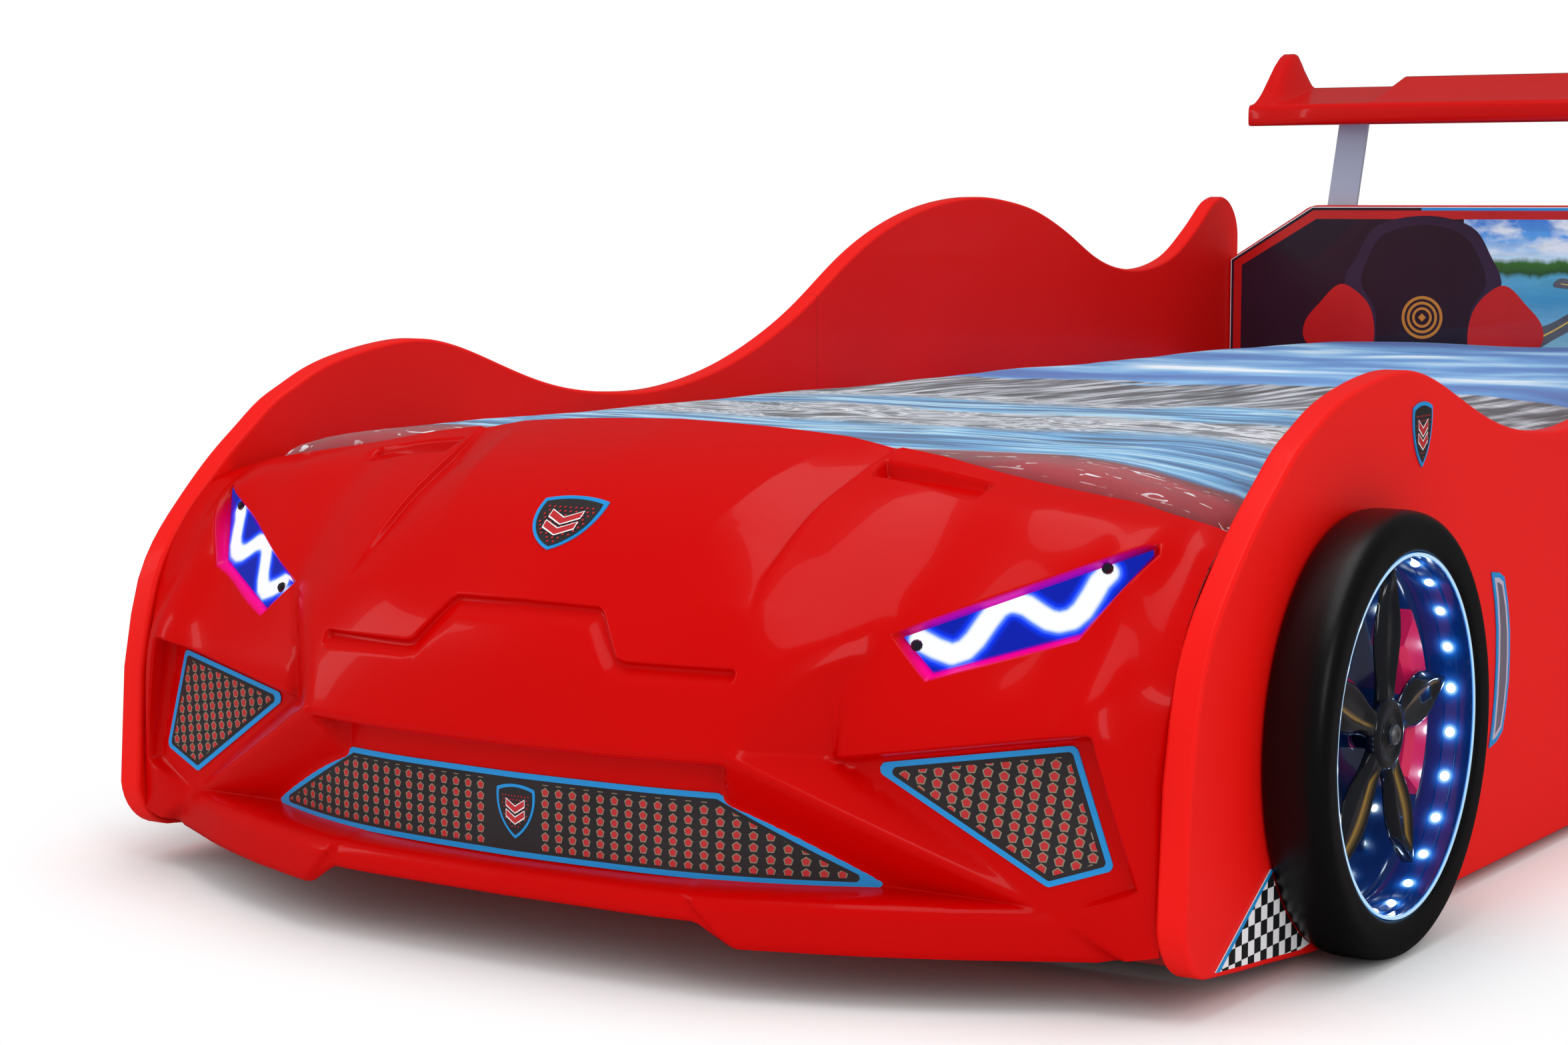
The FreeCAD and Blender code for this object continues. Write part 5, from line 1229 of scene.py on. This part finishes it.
head_outline = [(-HEAD_HALF, 20), (HEAD_HALF, 20), (HEAD_HALF, HEAD_SIDE - 12)]
side_corner = ((HEAD_HALF, HEAD_SIDE - 10), (HEAD_HALF - 3.6, HEAD_SIDE + 0.5), (HEAD_HALF - 12, HEAD_SIDE + 7.4))
top_corner = ((HEAD_SHOULDER + 14, HEAD_TOP - 8.6), (HEAD_SHOULDER + 3, HEAD_TOP - 2.2), (HEAD_SHOULDER - 12, HEAD_TOP))
head_outline += [tuple(p) for corner in (side_corner, top_corner) for p in arc(*corner, 6)]
head_outline += [(-x, z) for x, z in head_outline[:1:-1]]
rings, faces = rounded_slab(resample(head_outline, 12.0, True), 18.0, 2.0)
points = np.column_stack([rings[:, 0], HEAD_Y + DATUM + 18.0 - rings[:, 2], rings[:, 1]])
points[:, 0] = np.clip(points[:, 0], -HEAD_HALF, HEAD_HALF)
board = put_mesh("head_board_slab", points, faces, "bed_frame")
flatten_shading(board)
board.data.materials.append(board_red)
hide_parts("head_board")


def inset_head(amount):
    """The headboard's outline moved inwards, down to the bedspread."""
    half, side = HEAD_HALF - amount, HEAD_SIDE - amount * 0.45
    top, shoulder = HEAD_TOP - amount, HEAD_SHOULDER - amount * 0.4
    return [(-half, 192), (half, 192), (half, side), (shoulder, top), (-shoulder, top), (-half, side)]


layers = [(inset_head(2.4), 0.8, PURE), (inset_head(3.4), 0.90, NIGHT), (inset_head(7.0), 0.98, BOLSTER),
          (inset_head(18.5), 1.06, NIGHT)]
sky_line = [(-189, HEAD_TOP - 3.4), (-189, HEAD_TOP - 7.0), (189, HEAD_TOP - 7.0), (189, HEAD_TOP - 3.4)]
layers.append((sky_line, 1.02, SKYBLUE))
layers.append(([(-130, HEAD_TOP - 18.5), (-130, 192), (130, 192), (130, HEAD_TOP - 18.5)], 1.14, SCENE))
road = [(-62, 372), (-20, 386), (12, 402), (30, 418), (22, 432), (-8, 441), (-6, 444), (34, 437), (52, 420), (40, 398),
        (8, 376), (-30, 352), (-70, 330)]
layers.append((smooth_line(road, 70), 1.22, ROAD))
centre = smooth_line([(-58, 356), (-14, 376), (22, 398), (40, 419), (28, 434), (-2, 442)], 40, closed=False)
d = np.gradient(centre, axis=0)
n = np.stack([-d[:, 1], d[:, 0]], 1) / np.hypot(*d.T)[:, None] * np.linspace(1.3, 0.5, 40)[:, None]
left, right = centre + n, centre - n
for i in range(38):
    layers.append((np.array([left[i], right[i], right[i + 1], left[i + 1]]), 1.30, LINE))
for s in (1, -1):
    seat = [(-146, 524.6), (-112, 509), (-92, 476), (-77, 438), (-100, 400), (-108, 340), (-262, 340), (-272, 400),
            (-296, 437), (-278, 476), (-257, 511), (-224, 524.6)]
    left_wing = [(-297, 437), (-330, 412), (-352, 384), (-354, 366), (-330, 345), (-258, 345), (-252, 380),
                 (-262, 412), (-282, 430)]
    right_wing = [(-76, 438), (-44, 414), (-23, 390), (-19, 370), (-40, 345), (-116, 345), (-121, 380), (-110, 412),
                  (-92, 430)]
    for shape, lift, ink in ((seat, 1.30, SEAT), (left_wing, 1.38, BOLSTER), (right_wing, 1.38, BOLSTER)):
        p = smooth_line(shape, 72)
        layers.append((p if s > 0 else p * [-1, 1], lift, ink))
    inner = smooth_line([(-150, 512), (-126, 500), (-106, 470), (-98, 440), (-118, 404), (-124, 350), (-246, 350),
                         (-252, 404), (-272, 440), (-264, 470), (-246, 500), (-220, 512)], 72)
    layers.append((inner if s > 0 else inner * [-1, 1], 1.36, NIGHT))
    for k, r in enumerate((28.5, 24.5, 21.0, 17.4, 13.6, 10.2)):
        lift, ink = 1.44 + 0.06 * k, NIGHT if k % 2 else RING
        t = np.arange(48) * 2 * math.pi / 48
        layers.append((np.column_stack([s * -185 + r * np.cos(t), 394 + r * np.sin(t)]), lift, ink))
    layers.append(([(s * -185 - 5.5, 394), (s * -185, 388.5), (s * -185 + 5.5, 394), (s * -185, 399.5)], 1.80, RING))
place = lambda p: np.column_stack([p[:, 0], HEAD_Y + DATUM - 0.3 - p[:, 2] * 0.7, p[:, 1]])
cover = printed("head_print_sheet", layers, place, "bed_frame", 0.8)
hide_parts("head_print")

# ------------------------------------------------------------------ mattress and bedspread
# A 900 by 2000 mm foam mattress in white ticking, and a printed cotton spread laid on it that
# hangs down on all four sides. The print runs from a red band at the foot over water and
# grey swirls to a grey skyline and a cloudy sky at the head, as soft procedural bands.
MID_Y = (230.0 + 2246.0) / 2 + DATUM
ticking, shader = new_material("ticking", (0.72, 0.71, 0.69), 0.85)
grain(ticking, shader, 1800, 0.00015, (0.92, 1.03), (0.8, 0.92), 30)
shader.inputs["Sheen Weight"].default_value = 0.2


def cushion_mesh(half_x, half_y, z0, z1, corner, rows, crown, closed):
    """Pad over a rounded rectangle from z0 to z1: rows of (share of the height, inset) give the
    flank, the top closes in rings, and crown(x, y, z) is added to every height."""
    inset = rows[0][1]
    hx, hy, rim = half_x - inset, half_y - inset, []
    for sx, sy, start in ((1, 1, 0), (-1, 1, 90), (-1, -1, 180), (1, -1, 270)):
        for turn in np.linspace(0, 90, 7):
            a = math.radians(start + turn)
            rim.append((sx * (hx - corner) + corner * math.cos(a), sy * (hy - corner) + corner * math.sin(a)))
    base = resample(rim, 22.0, True)
    m, loops = len(base), []
    for rise, inset in rows:
        ring = base * (1 - (inset - rows[0][1]) / np.array([half_x, half_y]))
        loops.append(np.column_stack([ring, np.full(m, z0 + (z1 - z0) * rise)]))
    top = loops[-1][:, :2]
    loops += [np.column_stack([top * k, np.full(m, z1)]) for k in np.linspace(1, 0, 24)[1:]]
    tip = (len(loops) - 1) * m
    points = np.vstack(loops)[:tip + 1]
    points[:, 2] += crown(*points.T)
    faces = [(a + i, a + (i + 1) % m, a + m + (i + 1) % m, a + m + i)
             for a in range(0, tip - m, m) for i in range(m)]
    faces += [(tip - m + i, tip - m + (i + 1) % m, tip) for i in range(m)]
    return points, faces + ([list(range(m))[::-1]] if closed else []), m


flank_rows = [(0.0, 16), (0.03, 8), (0.09, 3.5), (0.2, 1.2), (0.35, 0.4), (0.5, 0.2), (0.65, 0.4), (0.8, 1.4),
              (0.9, 4), (0.96, 9), (1.0, 18)]
pad_crown = lambda x, y, z: (np.where(z > 355, 0.6 * np.sin(x / 47.0) * np.sin(y / 47.0) - 1.6, 0)
                             - 31 * np.clip((np.abs(x) - 285) / 169, 0, 1) ** 1.7 * ease((z - 285) / 72))
points, faces, _ = cushion_mesh(449.6, 996.8, 190.6, 357.6, 45, flank_rows, pad_crown, True)
points[:, 1] += MID_Y
pad = put_mesh("mattress_pad", points, faces, "bedding")
pad.data.materials.append(ticking)
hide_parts("mattress")

spread_mat, shader = new_material("printed_cotton", (0.3, 0.5, 0.7), 0.82)
shader.inputs["Sheen Weight"].default_value = 0.15
nodes, links = spread_mat.node_tree.nodes, spread_mat.node_tree.links
where = nodes.new("ShaderNodeTexCoord")
split = nodes.new("ShaderNodeSeparateXYZ")
links.new(where.outputs["Object"], split.inputs["Vector"])


def band(start, end, waver=0.10, scale=5.0):
    """0 before a station in metres of the frame and 1 after, with a wavering edge."""
    edge = noise_of(spread_mat, where.outputs["Object"], scale, 5)
    shift = calc(spread_mat, "MULTIPLY", calc(spread_mat, "SUBTRACT", edge.outputs["Fac"], 0.5), waver)
    y = calc(spread_mat, "ADD", split.outputs["Y"], shift)
    node = nodes.new("ShaderNodeMapRange")
    node.interpolation_type = "SMOOTHSTEP"
    node.inputs["From Min"].default_value, node.inputs["From Max"].default_value = start, end
    links.new(y, node.inputs["Value"])
    return node.outputs["Result"]


def until(start, end, waver, scale):
    """1 before a station and 0 after."""
    return calc(spread_mat, "SUBTRACT", 1.0, band(start, end, waver, scale))


def streaks(factors, stops, detail=5.0, distortion=0.0):
    """Noise drawn out by three factors and coloured by a ramp."""
    n = noise_of(spread_mat, stretch_of(spread_mat, factors).outputs["Vector"], 1.0, detail, distortion)
    r = ramp_of(spread_mat, stops)
    links.new(n.outputs["Fac"], r.inputs["Fac"])
    return r.outputs["Color"]


sky_part = streaks((3.2, 5.5, 3), [(0.36, (0.02, 0.22, 0.60)), (0.48, (0.08, 0.38, 0.74)),
                                   (0.56, (0.30, 0.60, 0.86)), (0.68, (0.84, 0.91, 0.96))], 7)
towers = streaks((62, 5, 3), [(0.34, (0.03, 0.04, 0.06)), (0.45, (0.16, 0.18, 0.22)),
                              (0.52, (0.42, 0.45, 0.50)), (0.62, (0.72, 0.75, 0.80))], 3)
floors = streaks((8, 150, 3), [(0.40, (0.55, 0.55, 0.58)), (0.60, (1.0, 1.0, 1.0))], 2)
skyline = mixed(spread_mat, towers, floors, 0.8, "MULTIPLY")
swirl = streaks((7, 15, 3), [(0.30, (0.05, 0.055, 0.07)), (0.42, (0.30, 0.32, 0.36)), (0.47, (0.78, 0.80, 0.84)),
                             (0.52, (0.22, 0.24, 0.28)), (0.58, (0.66, 0.69, 0.74)), (0.70, (0.10, 0.12, 0.15))],
                6, 2.2)
water = streaks((4, 36, 3), [(0.32, (0.02, 0.10, 0.22)), (0.44, (0.03, 0.26, 0.52)), (0.52, (0.14, 0.48, 0.74)),
                             (0.60, (0.55, 0.76, 0.88)), (0.68, (0.04, 0.20, 0.36))], 6, 0.9)
crimson = streaks((5, 12, 4), [(0.35, (0.22, 0.004, 0.012)), (0.5, (0.42, 0.008, 0.024)),
                               (0.65, (0.55, 0.02, 0.04))], 5)
dashes = streaks((30, 120, 60), [(0.64, (0, 0, 0)), (0.66, (1, 1, 1))], 2, 1.2)
dash_band = calc(spread_mat, "MULTIPLY", band(-0.930, -0.915, 0.02, 20), until(-0.875, -0.865, 0.02, 20))
foot = mixed(spread_mat, crimson, (0.78, 0.78, 0.80), calc(spread_mat, "MULTIPLY", dashes, dash_band))
cloth = mixed(spread_mat, foot, water, band(-0.862, -0.842, 0.05, 9))
cloth = mixed(spread_mat, cloth, swirl, band(-0.66, -0.58, 0.22, 4))
second_water = calc(spread_mat, "MULTIPLY", band(-0.46, -0.42, 0.3, 5), until(-0.36, -0.30, 0.3, 5))
cloth = mixed(spread_mat, cloth, water, second_water)
cloth = mixed(spread_mat, cloth, skyline, band(-0.30, -0.27, 0.12, 9))
cloth = mixed(spread_mat, cloth, sky_part, band(0.02, 0.05, 0.26, 13))
deeper = mixed(spread_mat, cloth, cloth, 0.55, "MULTIPLY")
links.new(mixed(spread_mat, deeper, (0.60, 0.66, 0.74), 0.04), shader.inputs["Base Color"])
weave = nodes.new("ShaderNodeTexVoronoi")
weave.inputs["Scale"].default_value = 1400
links.new(where.outputs["Object"], weave.inputs["Vector"])
bump = nodes.new("ShaderNodeBump")
bump.inputs["Distance"].default_value = 0.00012
links.new(weave.outputs["Distance"], bump.inputs["Height"])
links.new(bump.outputs["Normal"], shader.inputs["Normal"])
SPREAD_THICK = 2.0
drop_rows = [(0.0, 0.3), (0.12, 0.1), (0.25, 0.0), (0.4, 0.0), (0.55, 0.2), (0.68, 0.7), (0.78, 1.8), (0.86, 3.8),
             (0.925, 7.2), (0.97, 12.0), (0.992, 17.5), (1.0, 24)]


def spread_crown(x, y, z):
    """Wrinkles: shallow long waves on the top, and short ones that fade in from the edge; the
    soft top falls 31 mm towards both sides."""
    top = ease((z - 345) / 17)
    edge = np.minimum(454 - np.abs(x), 1000 - np.abs(y))
    near = np.exp(-np.clip(edge, 0, None) / 55.0)
    long_waves = 0.9 * np.sin(x / 61 + 1.7 * np.sin(y / 230)) + 0.7 * np.sin(y / 83 + 1.2 * np.sin(x / 97))
    long_waves = long_waves + 0.5 * np.sin((x + y) / 39)
    short = 1.3 * np.sin(y / 17.5 + 0.8 * np.sin(y / 71)) * near
    side = np.clip((np.abs(x) - 285) / 169, 0, 1) ** 1.7
    return top * (long_waves - 1.6 + short) - 31 * side * ease((z - 290) / 72)


def moved_inwards(points, faces, thick):
    """A mesh's points moved against the mean normal of their faces by a thickness."""
    normals = np.zeros_like(points)
    for f in faces:
        a, b, c = points[f[0]], points[f[1]], points[f[2]]
        k = np.cross(b - a, c - a)
        for i in f:
            normals[i] += k
    normals /= np.maximum(np.linalg.norm(normals, axis=1), 1e-9)[:, None]
    return points - normals * thick


points, faces, m = cushion_mesh(454.3, 999.6, 271.5, 363.2, 47, drop_rows, spread_crown, False)
under = moved_inwards(points, faces, SPREAD_THICK)
n = len(points)
faces = [list(f) for f in faces] + [[i + n for i in f[::-1]] for f in faces]
faces += [[(i + 1) % m, i, i + n, (i + 1) % m + n] for i in range(m)]
both = np.vstack([points, under])
both[:, 1] += MID_Y
spread = put_mesh("bedspread_cloth", both, faces, "bedding")
spread.data.materials.append(spread_mat)
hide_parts("bedspread")

# ------------------------------------------------------------------ rear wing
# One moulded red wing on two flat metal struts: a rounded front band, a top that rises to the
# rear and is raised in the middle, and an upturned fin at each end.
wing_red, shader = new_material("wing_red_plastic", (0.58, 0.0012, 0.0008), 0.28, 0.22)
shader.inputs["Specular IOR Level"].default_value = 0.14
grain(wing_red, shader, 260, 0.00005, (0.94, 1.05), (0.22, 0.32), 3.0)
# Rise of an upturned end over its station.
FIN = [(2205, 0), (2218, 0), (2232, 4), (2248, 13), (2268, 28), (2288, 42), (2305, 50), (2320, 52.3), (2330, 48.5),
       (2338, 38), (2345, 25)]


def wing_rows(x):
    """Stations and heights round the section at x, from the front's lower edge over the top."""
    a = abs(x)
    nose = 2205 + 14 * ease((a - 330) / 100) + 3 * a / 430
    rise = 26 + 13 * (1 - ease((a - 252) / 16))
    fin = float(ease((a - 384) / 24) * (1 - ease((a - 421) / 8.4)))
    rows = [(nose + 12, 650.0), (nose + 5, 650.2), (nose + 1.6, 651.2), (nose + 0.2, 654), (nose, 660), (nose, 668),
            (nose + 0.4, 672.5), (nose + 2.2, 676.2), (nose + 5.4, 678.2)]
    for t in np.linspace(0, 1, 20)[1:]:
        y = nose + 5.4 + (2342 - nose - 5.4) * t
        rows.append((y, 678.2 + rise * t ** 1.1 + fin * np.interp(y, *zip(*FIN))))
    tail = rows[-1][1]
    rows += [(2344.4, tail - 1.4), (2345, tail - 4.0), (2344.2, tail - 7.5 - fin * 30)]
    for t in np.linspace(0, 1, 12)[1:]:
        y = 2340 - (2340 - nose - 40) * t
        rows.append((y, 650 + 20 + rise - (rise + 17.5) * t - fin * 4 * (1 - t)))
    return rows


runs = ((0, 250, 18), (250, 270, 9), (274, 380, 14), (382, 410, 15), (411, 419, 4), (420, 429.6, 13))
stations = np.unique(np.concatenate([np.linspace(*run) for run in runs]))
across = np.concatenate([-stations[:0:-1], stations])
sections = [np.array(wing_rows(x)) for x in across]
m = len(sections[0])
points = np.vstack([np.column_stack([np.full(m, x), s[:, 0] + DATUM, s[:, 1]]) for x, s in zip(across, sections)])
faces = []
for k in range(len(across) - 1):
    a, b = k * m, (k + 1) * m
    faces += [(a + i, a + (i + 1) % m, b + (i + 1) % m, b + i) for i in range(m)]
last = (len(across) - 1) * m
for start, turn in ((0, False), (last, True)):
    centre_y, centre_z = points[start:start + m, 1].mean(), points[start:start + m, 2].mean()
    points = np.vstack([points, [[points[start, 0], centre_y, centre_z]]])
    tip = len(points) - 1
    cap = [(start + i, start + (i + 1) % m, tip) for i in range(m)]
    faces += cap if turn else [(b, a, tip) for a, b, tip in cap]
wing = put_mesh("wing_moulding", points, [f[::-1] for f in faces], "bed_frame")
wing.data.materials.append(wing_red)
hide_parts("spoiler_wing")

# ------------------------------------------------------------------ carried-over pieces
# Boards, slats, rails, beam and legs in pale wood; zinc screws and angles; brushed grey struts;
# black domed lamp screws; plastic glides, calipers and control box keep their CAD shapes.


def wood(name, light, dark, along):
    """Board with long fibres along one axis: stretched noise for the grain and fine pores."""
    m, shader = new_material(name, light, 0.55)
    factors = [90.0, 90.0, 90.0]
    factors[along] = 4.0
    n = noise_of(m, stretch_of(m, tuple(factors)).outputs["Vector"], 1.0, 6, 0.6)
    r = ramp_of(m, [(0.32, dark), (0.62, light)])
    m.node_tree.links.new(n.outputs["Fac"], r.inputs["Fac"])
    m.node_tree.links.new(r.outputs["Color"], shader.inputs["Base Color"])
    b = m.node_tree.nodes.new("ShaderNodeBump")
    b.inputs["Distance"].default_value = 0.0001
    m.node_tree.links.new(n.outputs["Fac"], b.inputs["Height"])
    m.node_tree.links.new(b.outputs["Normal"], shader.inputs["Normal"])
    return m


slat_wood = wood("slat_birch", (0.62, 0.43, 0.25), (0.42, 0.26, 0.13), 0)
rail_wood = wood("rail_pine", (0.60, 0.40, 0.22), (0.38, 0.22, 0.10), 1)
leg_wood = wood("leg_pine", (0.60, 0.40, 0.22), (0.38, 0.22, 0.10), 2)
inner_board = wood("front_board_melamine", (0.58, 0.03, 0.025), (0.50, 0.02, 0.018), 0)
zinc, shader = new_material("zinc_plated_steel", (0.62, 0.63, 0.65), 0.32, 0.0, 1.0)
grain(zinc, shader, 1200, 0.00003, (0.8, 1.1), (0.25, 0.42), 60)
strut_metal, shader = new_material("strut_brushed_metal", (0.50, 0.58, 0.72), 0.38, 0.0, 0.3)
brushed = noise_of(strut_metal, stretch_of(strut_metal, (1500, 1500, 12)).outputs["Vector"], 1.0, 2)
spread_rough = strut_metal.node_tree.nodes.new("ShaderNodeMapRange")
spread_rough.inputs["To Min"].default_value, spread_rough.inputs["To Max"].default_value = 0.28, 0.5
strut_metal.node_tree.links.new(brushed.outputs["Fac"], spread_rough.inputs["Value"])
strut_metal.node_tree.links.new(spread_rough.outputs["Result"], shader.inputs["Roughness"])
glide_mat, shader = new_material("glide_black_plastic", (0.015, 0.015, 0.016), 0.5)
grain(glide_mat, shader, 900, 0.00006, (0.7, 1.3), (0.45, 0.6), 20)
box_mat, shader = new_material("control_box_plastic", (0.03, 0.03, 0.033), 0.45)
grain(box_mat, shader, 1500, 0.0001, (0.8, 1.2), (0.4, 0.55), 20)
caliper_mat, shader = new_material("caliper_pink_red", (0.62, 0.012, 0.075), 0.3, 0.5)
grain(caliper_mat, shader, 500, 0.00005, (0.85, 1.1), (0.25, 0.36), 20)
# Painted light: a faint pink emission on the calipers.
shader.inputs["Emission Color"].default_value = (0.5, 0.01, 0.10, 1)
shader.inputs["Emission Strength"].default_value = 0.25
screw_black, shader = new_material("screw_black", (0.006, 0.006, 0.012), 0.12, 0.9)
grain(screw_black, shader, 900, 0.00001, (0.7, 1.3), (0.1, 0.2), 20)
finishes = {
    "front_board": inner_board, "left_rail": rail_wood, "right_rail": rail_wood, "centre_beam": rail_wood,
    "centre_legs": leg_wood, "slats": slat_wood, "corner_brackets": zinc, "bracket_screws": zinc,
    "rail_screws": zinc, "wheel_bolts": zinc, "strut_screws": zinc, "left_strut": strut_metal,
    "right_strut": strut_metal, "floor_glides": glide_mat, "light_control_box": box_mat, "lamp_screws": screw_black}
finishes.update({name + "_calipers": caliper_mat for name, _, _ in WHEELS})
for node, finish in finishes.items():
    for slot in bpy.data.objects[node].material_slots:
        slot.material = finish

# ------------------------------------------------------------------ studio
# The camera stands where the photograph's did: place in metres, turn and pitch in degrees, focal
# length and principal point in pixels of the 2352 by 1568 picture.
CAMERA_AT = (1.3684, -1.7624 + DATUM / 1000, 0.5531)
AZIMUTH, PITCH, FOCAL, CENTRE = 33.972, 5.459, 4714.12, (1062.44, 746.91)
WIDE, TALL, SENSOR = 2352, 1568, 36.0
camera_data = bpy.data.cameras.new("camera")
camera = bpy.data.objects.new("camera", camera_data)
bpy.context.scene.collection.objects.link(camera)
camera.location = CAMERA_AT
camera.rotation_euler = (math.radians(90 - PITCH), 0, math.radians(AZIMUTH))
camera_data.sensor_width = SENSOR
camera_data.lens = FOCAL * SENSOR / WIDE
camera_data.shift_x = (WIDE / 2 - CENTRE[0]) / WIDE
camera_data.shift_y = -(TALL / 2 - CENTRE[1]) / WIDE
camera_data.clip_end = 100
bpy.context.scene.camera = camera

floor_mesh = bpy.data.meshes.new("floor")
floor_mesh.from_pydata([(x, y, 0) for x, y in ((-30, -30), (30, -30), (30, 30), (-30, 30))], [], [(0, 1, 2, 3)])
floor = bpy.data.objects.new("floor", floor_mesh)
bpy.context.scene.collection.objects.link(floor)
pale, shader = new_material("pale_floor", (0.93, 0.93, 0.935), 0.8)
grain(pale, shader, 40, 0.00002, (0.99, 1.01), (0.65, 0.75), 1)
floor.data.materials.append(pale)
nodes, links = pale.node_tree.nodes, pale.node_tree.links
floor_rays = nodes.new("ShaderNodeLightPath")
tone = shader.inputs["Base Color"].links[0].from_socket
for_gloss = mixed(pale, tone, (0.10, 0.10, 0.10), floor_rays.outputs["Is Glossy Ray"])
links.new(for_gloss, shader.inputs["Base Color"])
shader.inputs["Specular IOR Level"].default_value = 0.0
# The floor keeps the shadow near the bed and is plain white for the eye further out.
where = nodes.new("ShaderNodeTexCoord")
split = nodes.new("ShaderNodeSeparateXYZ")
links.new(where.outputs["Object"], split.inputs["Vector"])
beside = calc(pale, "MAXIMUM", calc(pale, "SUBTRACT", calc(pale, "ABSOLUTE", split.outputs["X"]), 0.50), 0.0)
ahead = calc(pale, "MAXIMUM", calc(pale, "SUBTRACT", calc(pale, "ABSOLUTE", split.outputs["Y"]), 1.15), 0.0)
far = nodes.new("ShaderNodeMapRange")
far.interpolation_type = "SMOOTHSTEP"
far.inputs["From Min"].default_value, far.inputs["From Max"].default_value = 0.0, 0.30
squares = calc(pale, "ADD", calc(pale, "MULTIPLY", beside, beside), calc(pale, "MULTIPLY", ahead, ahead))
links.new(calc(pale, "SQRT", squares), far.inputs["Value"])
white = nodes.new("ShaderNodeEmission")
lit_floor = nodes.new("ShaderNodeMixShader")
seen_floor = calc(pale, "MAXIMUM", floor_rays.outputs["Is Camera Ray"], floor_rays.outputs["Is Transmission Ray"])
links.new(calc(pale, "MULTIPLY", far.outputs["Result"], seen_floor), lit_floor.inputs["Fac"])
links.new(shader.outputs["BSDF"], lit_floor.inputs[1])
links.new(white.outputs["Emission"], lit_floor.inputs[2])
links.new(lit_floor.outputs["Shader"], nodes["Material Output"].inputs["Surface"])
world = bpy.data.worlds.new("studio")
bpy.context.scene.world = world
world.use_nodes = True
nodes, links = world.node_tree.nodes, world.node_tree.links
rays = nodes.new("ShaderNodeLightPath")
seen = nodes.new("ShaderNodeMath")
seen.operation = "MAXIMUM"
links.new(rays.outputs["Is Camera Ray"], seen.inputs[0])
links.new(rays.outputs["Is Transmission Ray"], seen.inputs[1])
sky = nodes["Background"]
sky.inputs["Color"].default_value = (1, 1, 1, 1)
sky.inputs["Strength"].default_value = 0.92
dim_sky, white_sky = nodes.new("ShaderNodeBackground"), nodes.new("ShaderNodeBackground")
for background, strength in ((dim_sky, 0.12), (white_sky, 1.0)):
    background.inputs["Color"].default_value = (1, 1, 1, 1)
    background.inputs["Strength"].default_value = strength
by_gloss = nodes.new("ShaderNodeMixShader")
by_view = nodes.new("ShaderNodeMixShader")
links.new(rays.outputs["Is Glossy Ray"], by_gloss.inputs["Fac"])
links.new(sky.outputs["Background"], by_gloss.inputs[1])
links.new(dim_sky.outputs["Background"], by_gloss.inputs[2])
links.new(seen.outputs["Value"], by_view.inputs["Fac"])
links.new(by_gloss.outputs["Shader"], by_view.inputs[1])
links.new(white_sky.outputs["Background"], by_view.inputs[2])
links.new(by_view.outputs["Shader"], nodes["World Output"].inputs["Surface"])


def soft_box(name, at, look, size, power):
    """A rectangular studio light that looks at a point."""
    data = bpy.data.lights.new(name, "AREA")
    data.shape, data.size, data.size_y, data.energy = "RECTANGLE", size[0], size[1], power
    lamp = bpy.data.objects.new(name, data)
    bpy.context.scene.collection.objects.link(lamp)
    lamp.location = at
    lamp.rotation_mode = "QUATERNION"
    lamp.rotation_quaternion = (Vector(look) - Vector(at)).to_track_quat("-Z", "Y")
    return lamp


soft_box("overhead", (0.2, -0.9, 3.2), (0, -0.4, 0.3), (1.2, 3.4), 30)
soft_box("near_box", (2.6, -3.0, 1.9), (0.1, -0.8, 0.3), (0.5, 1.8), 13)
soft_box("far_box", (-2.8, -2.6, 1.5), (0, -0.8, 0.3), (0.5, 1.8), 10)
bpy.context.scene.view_settings.view_transform = "Standard"
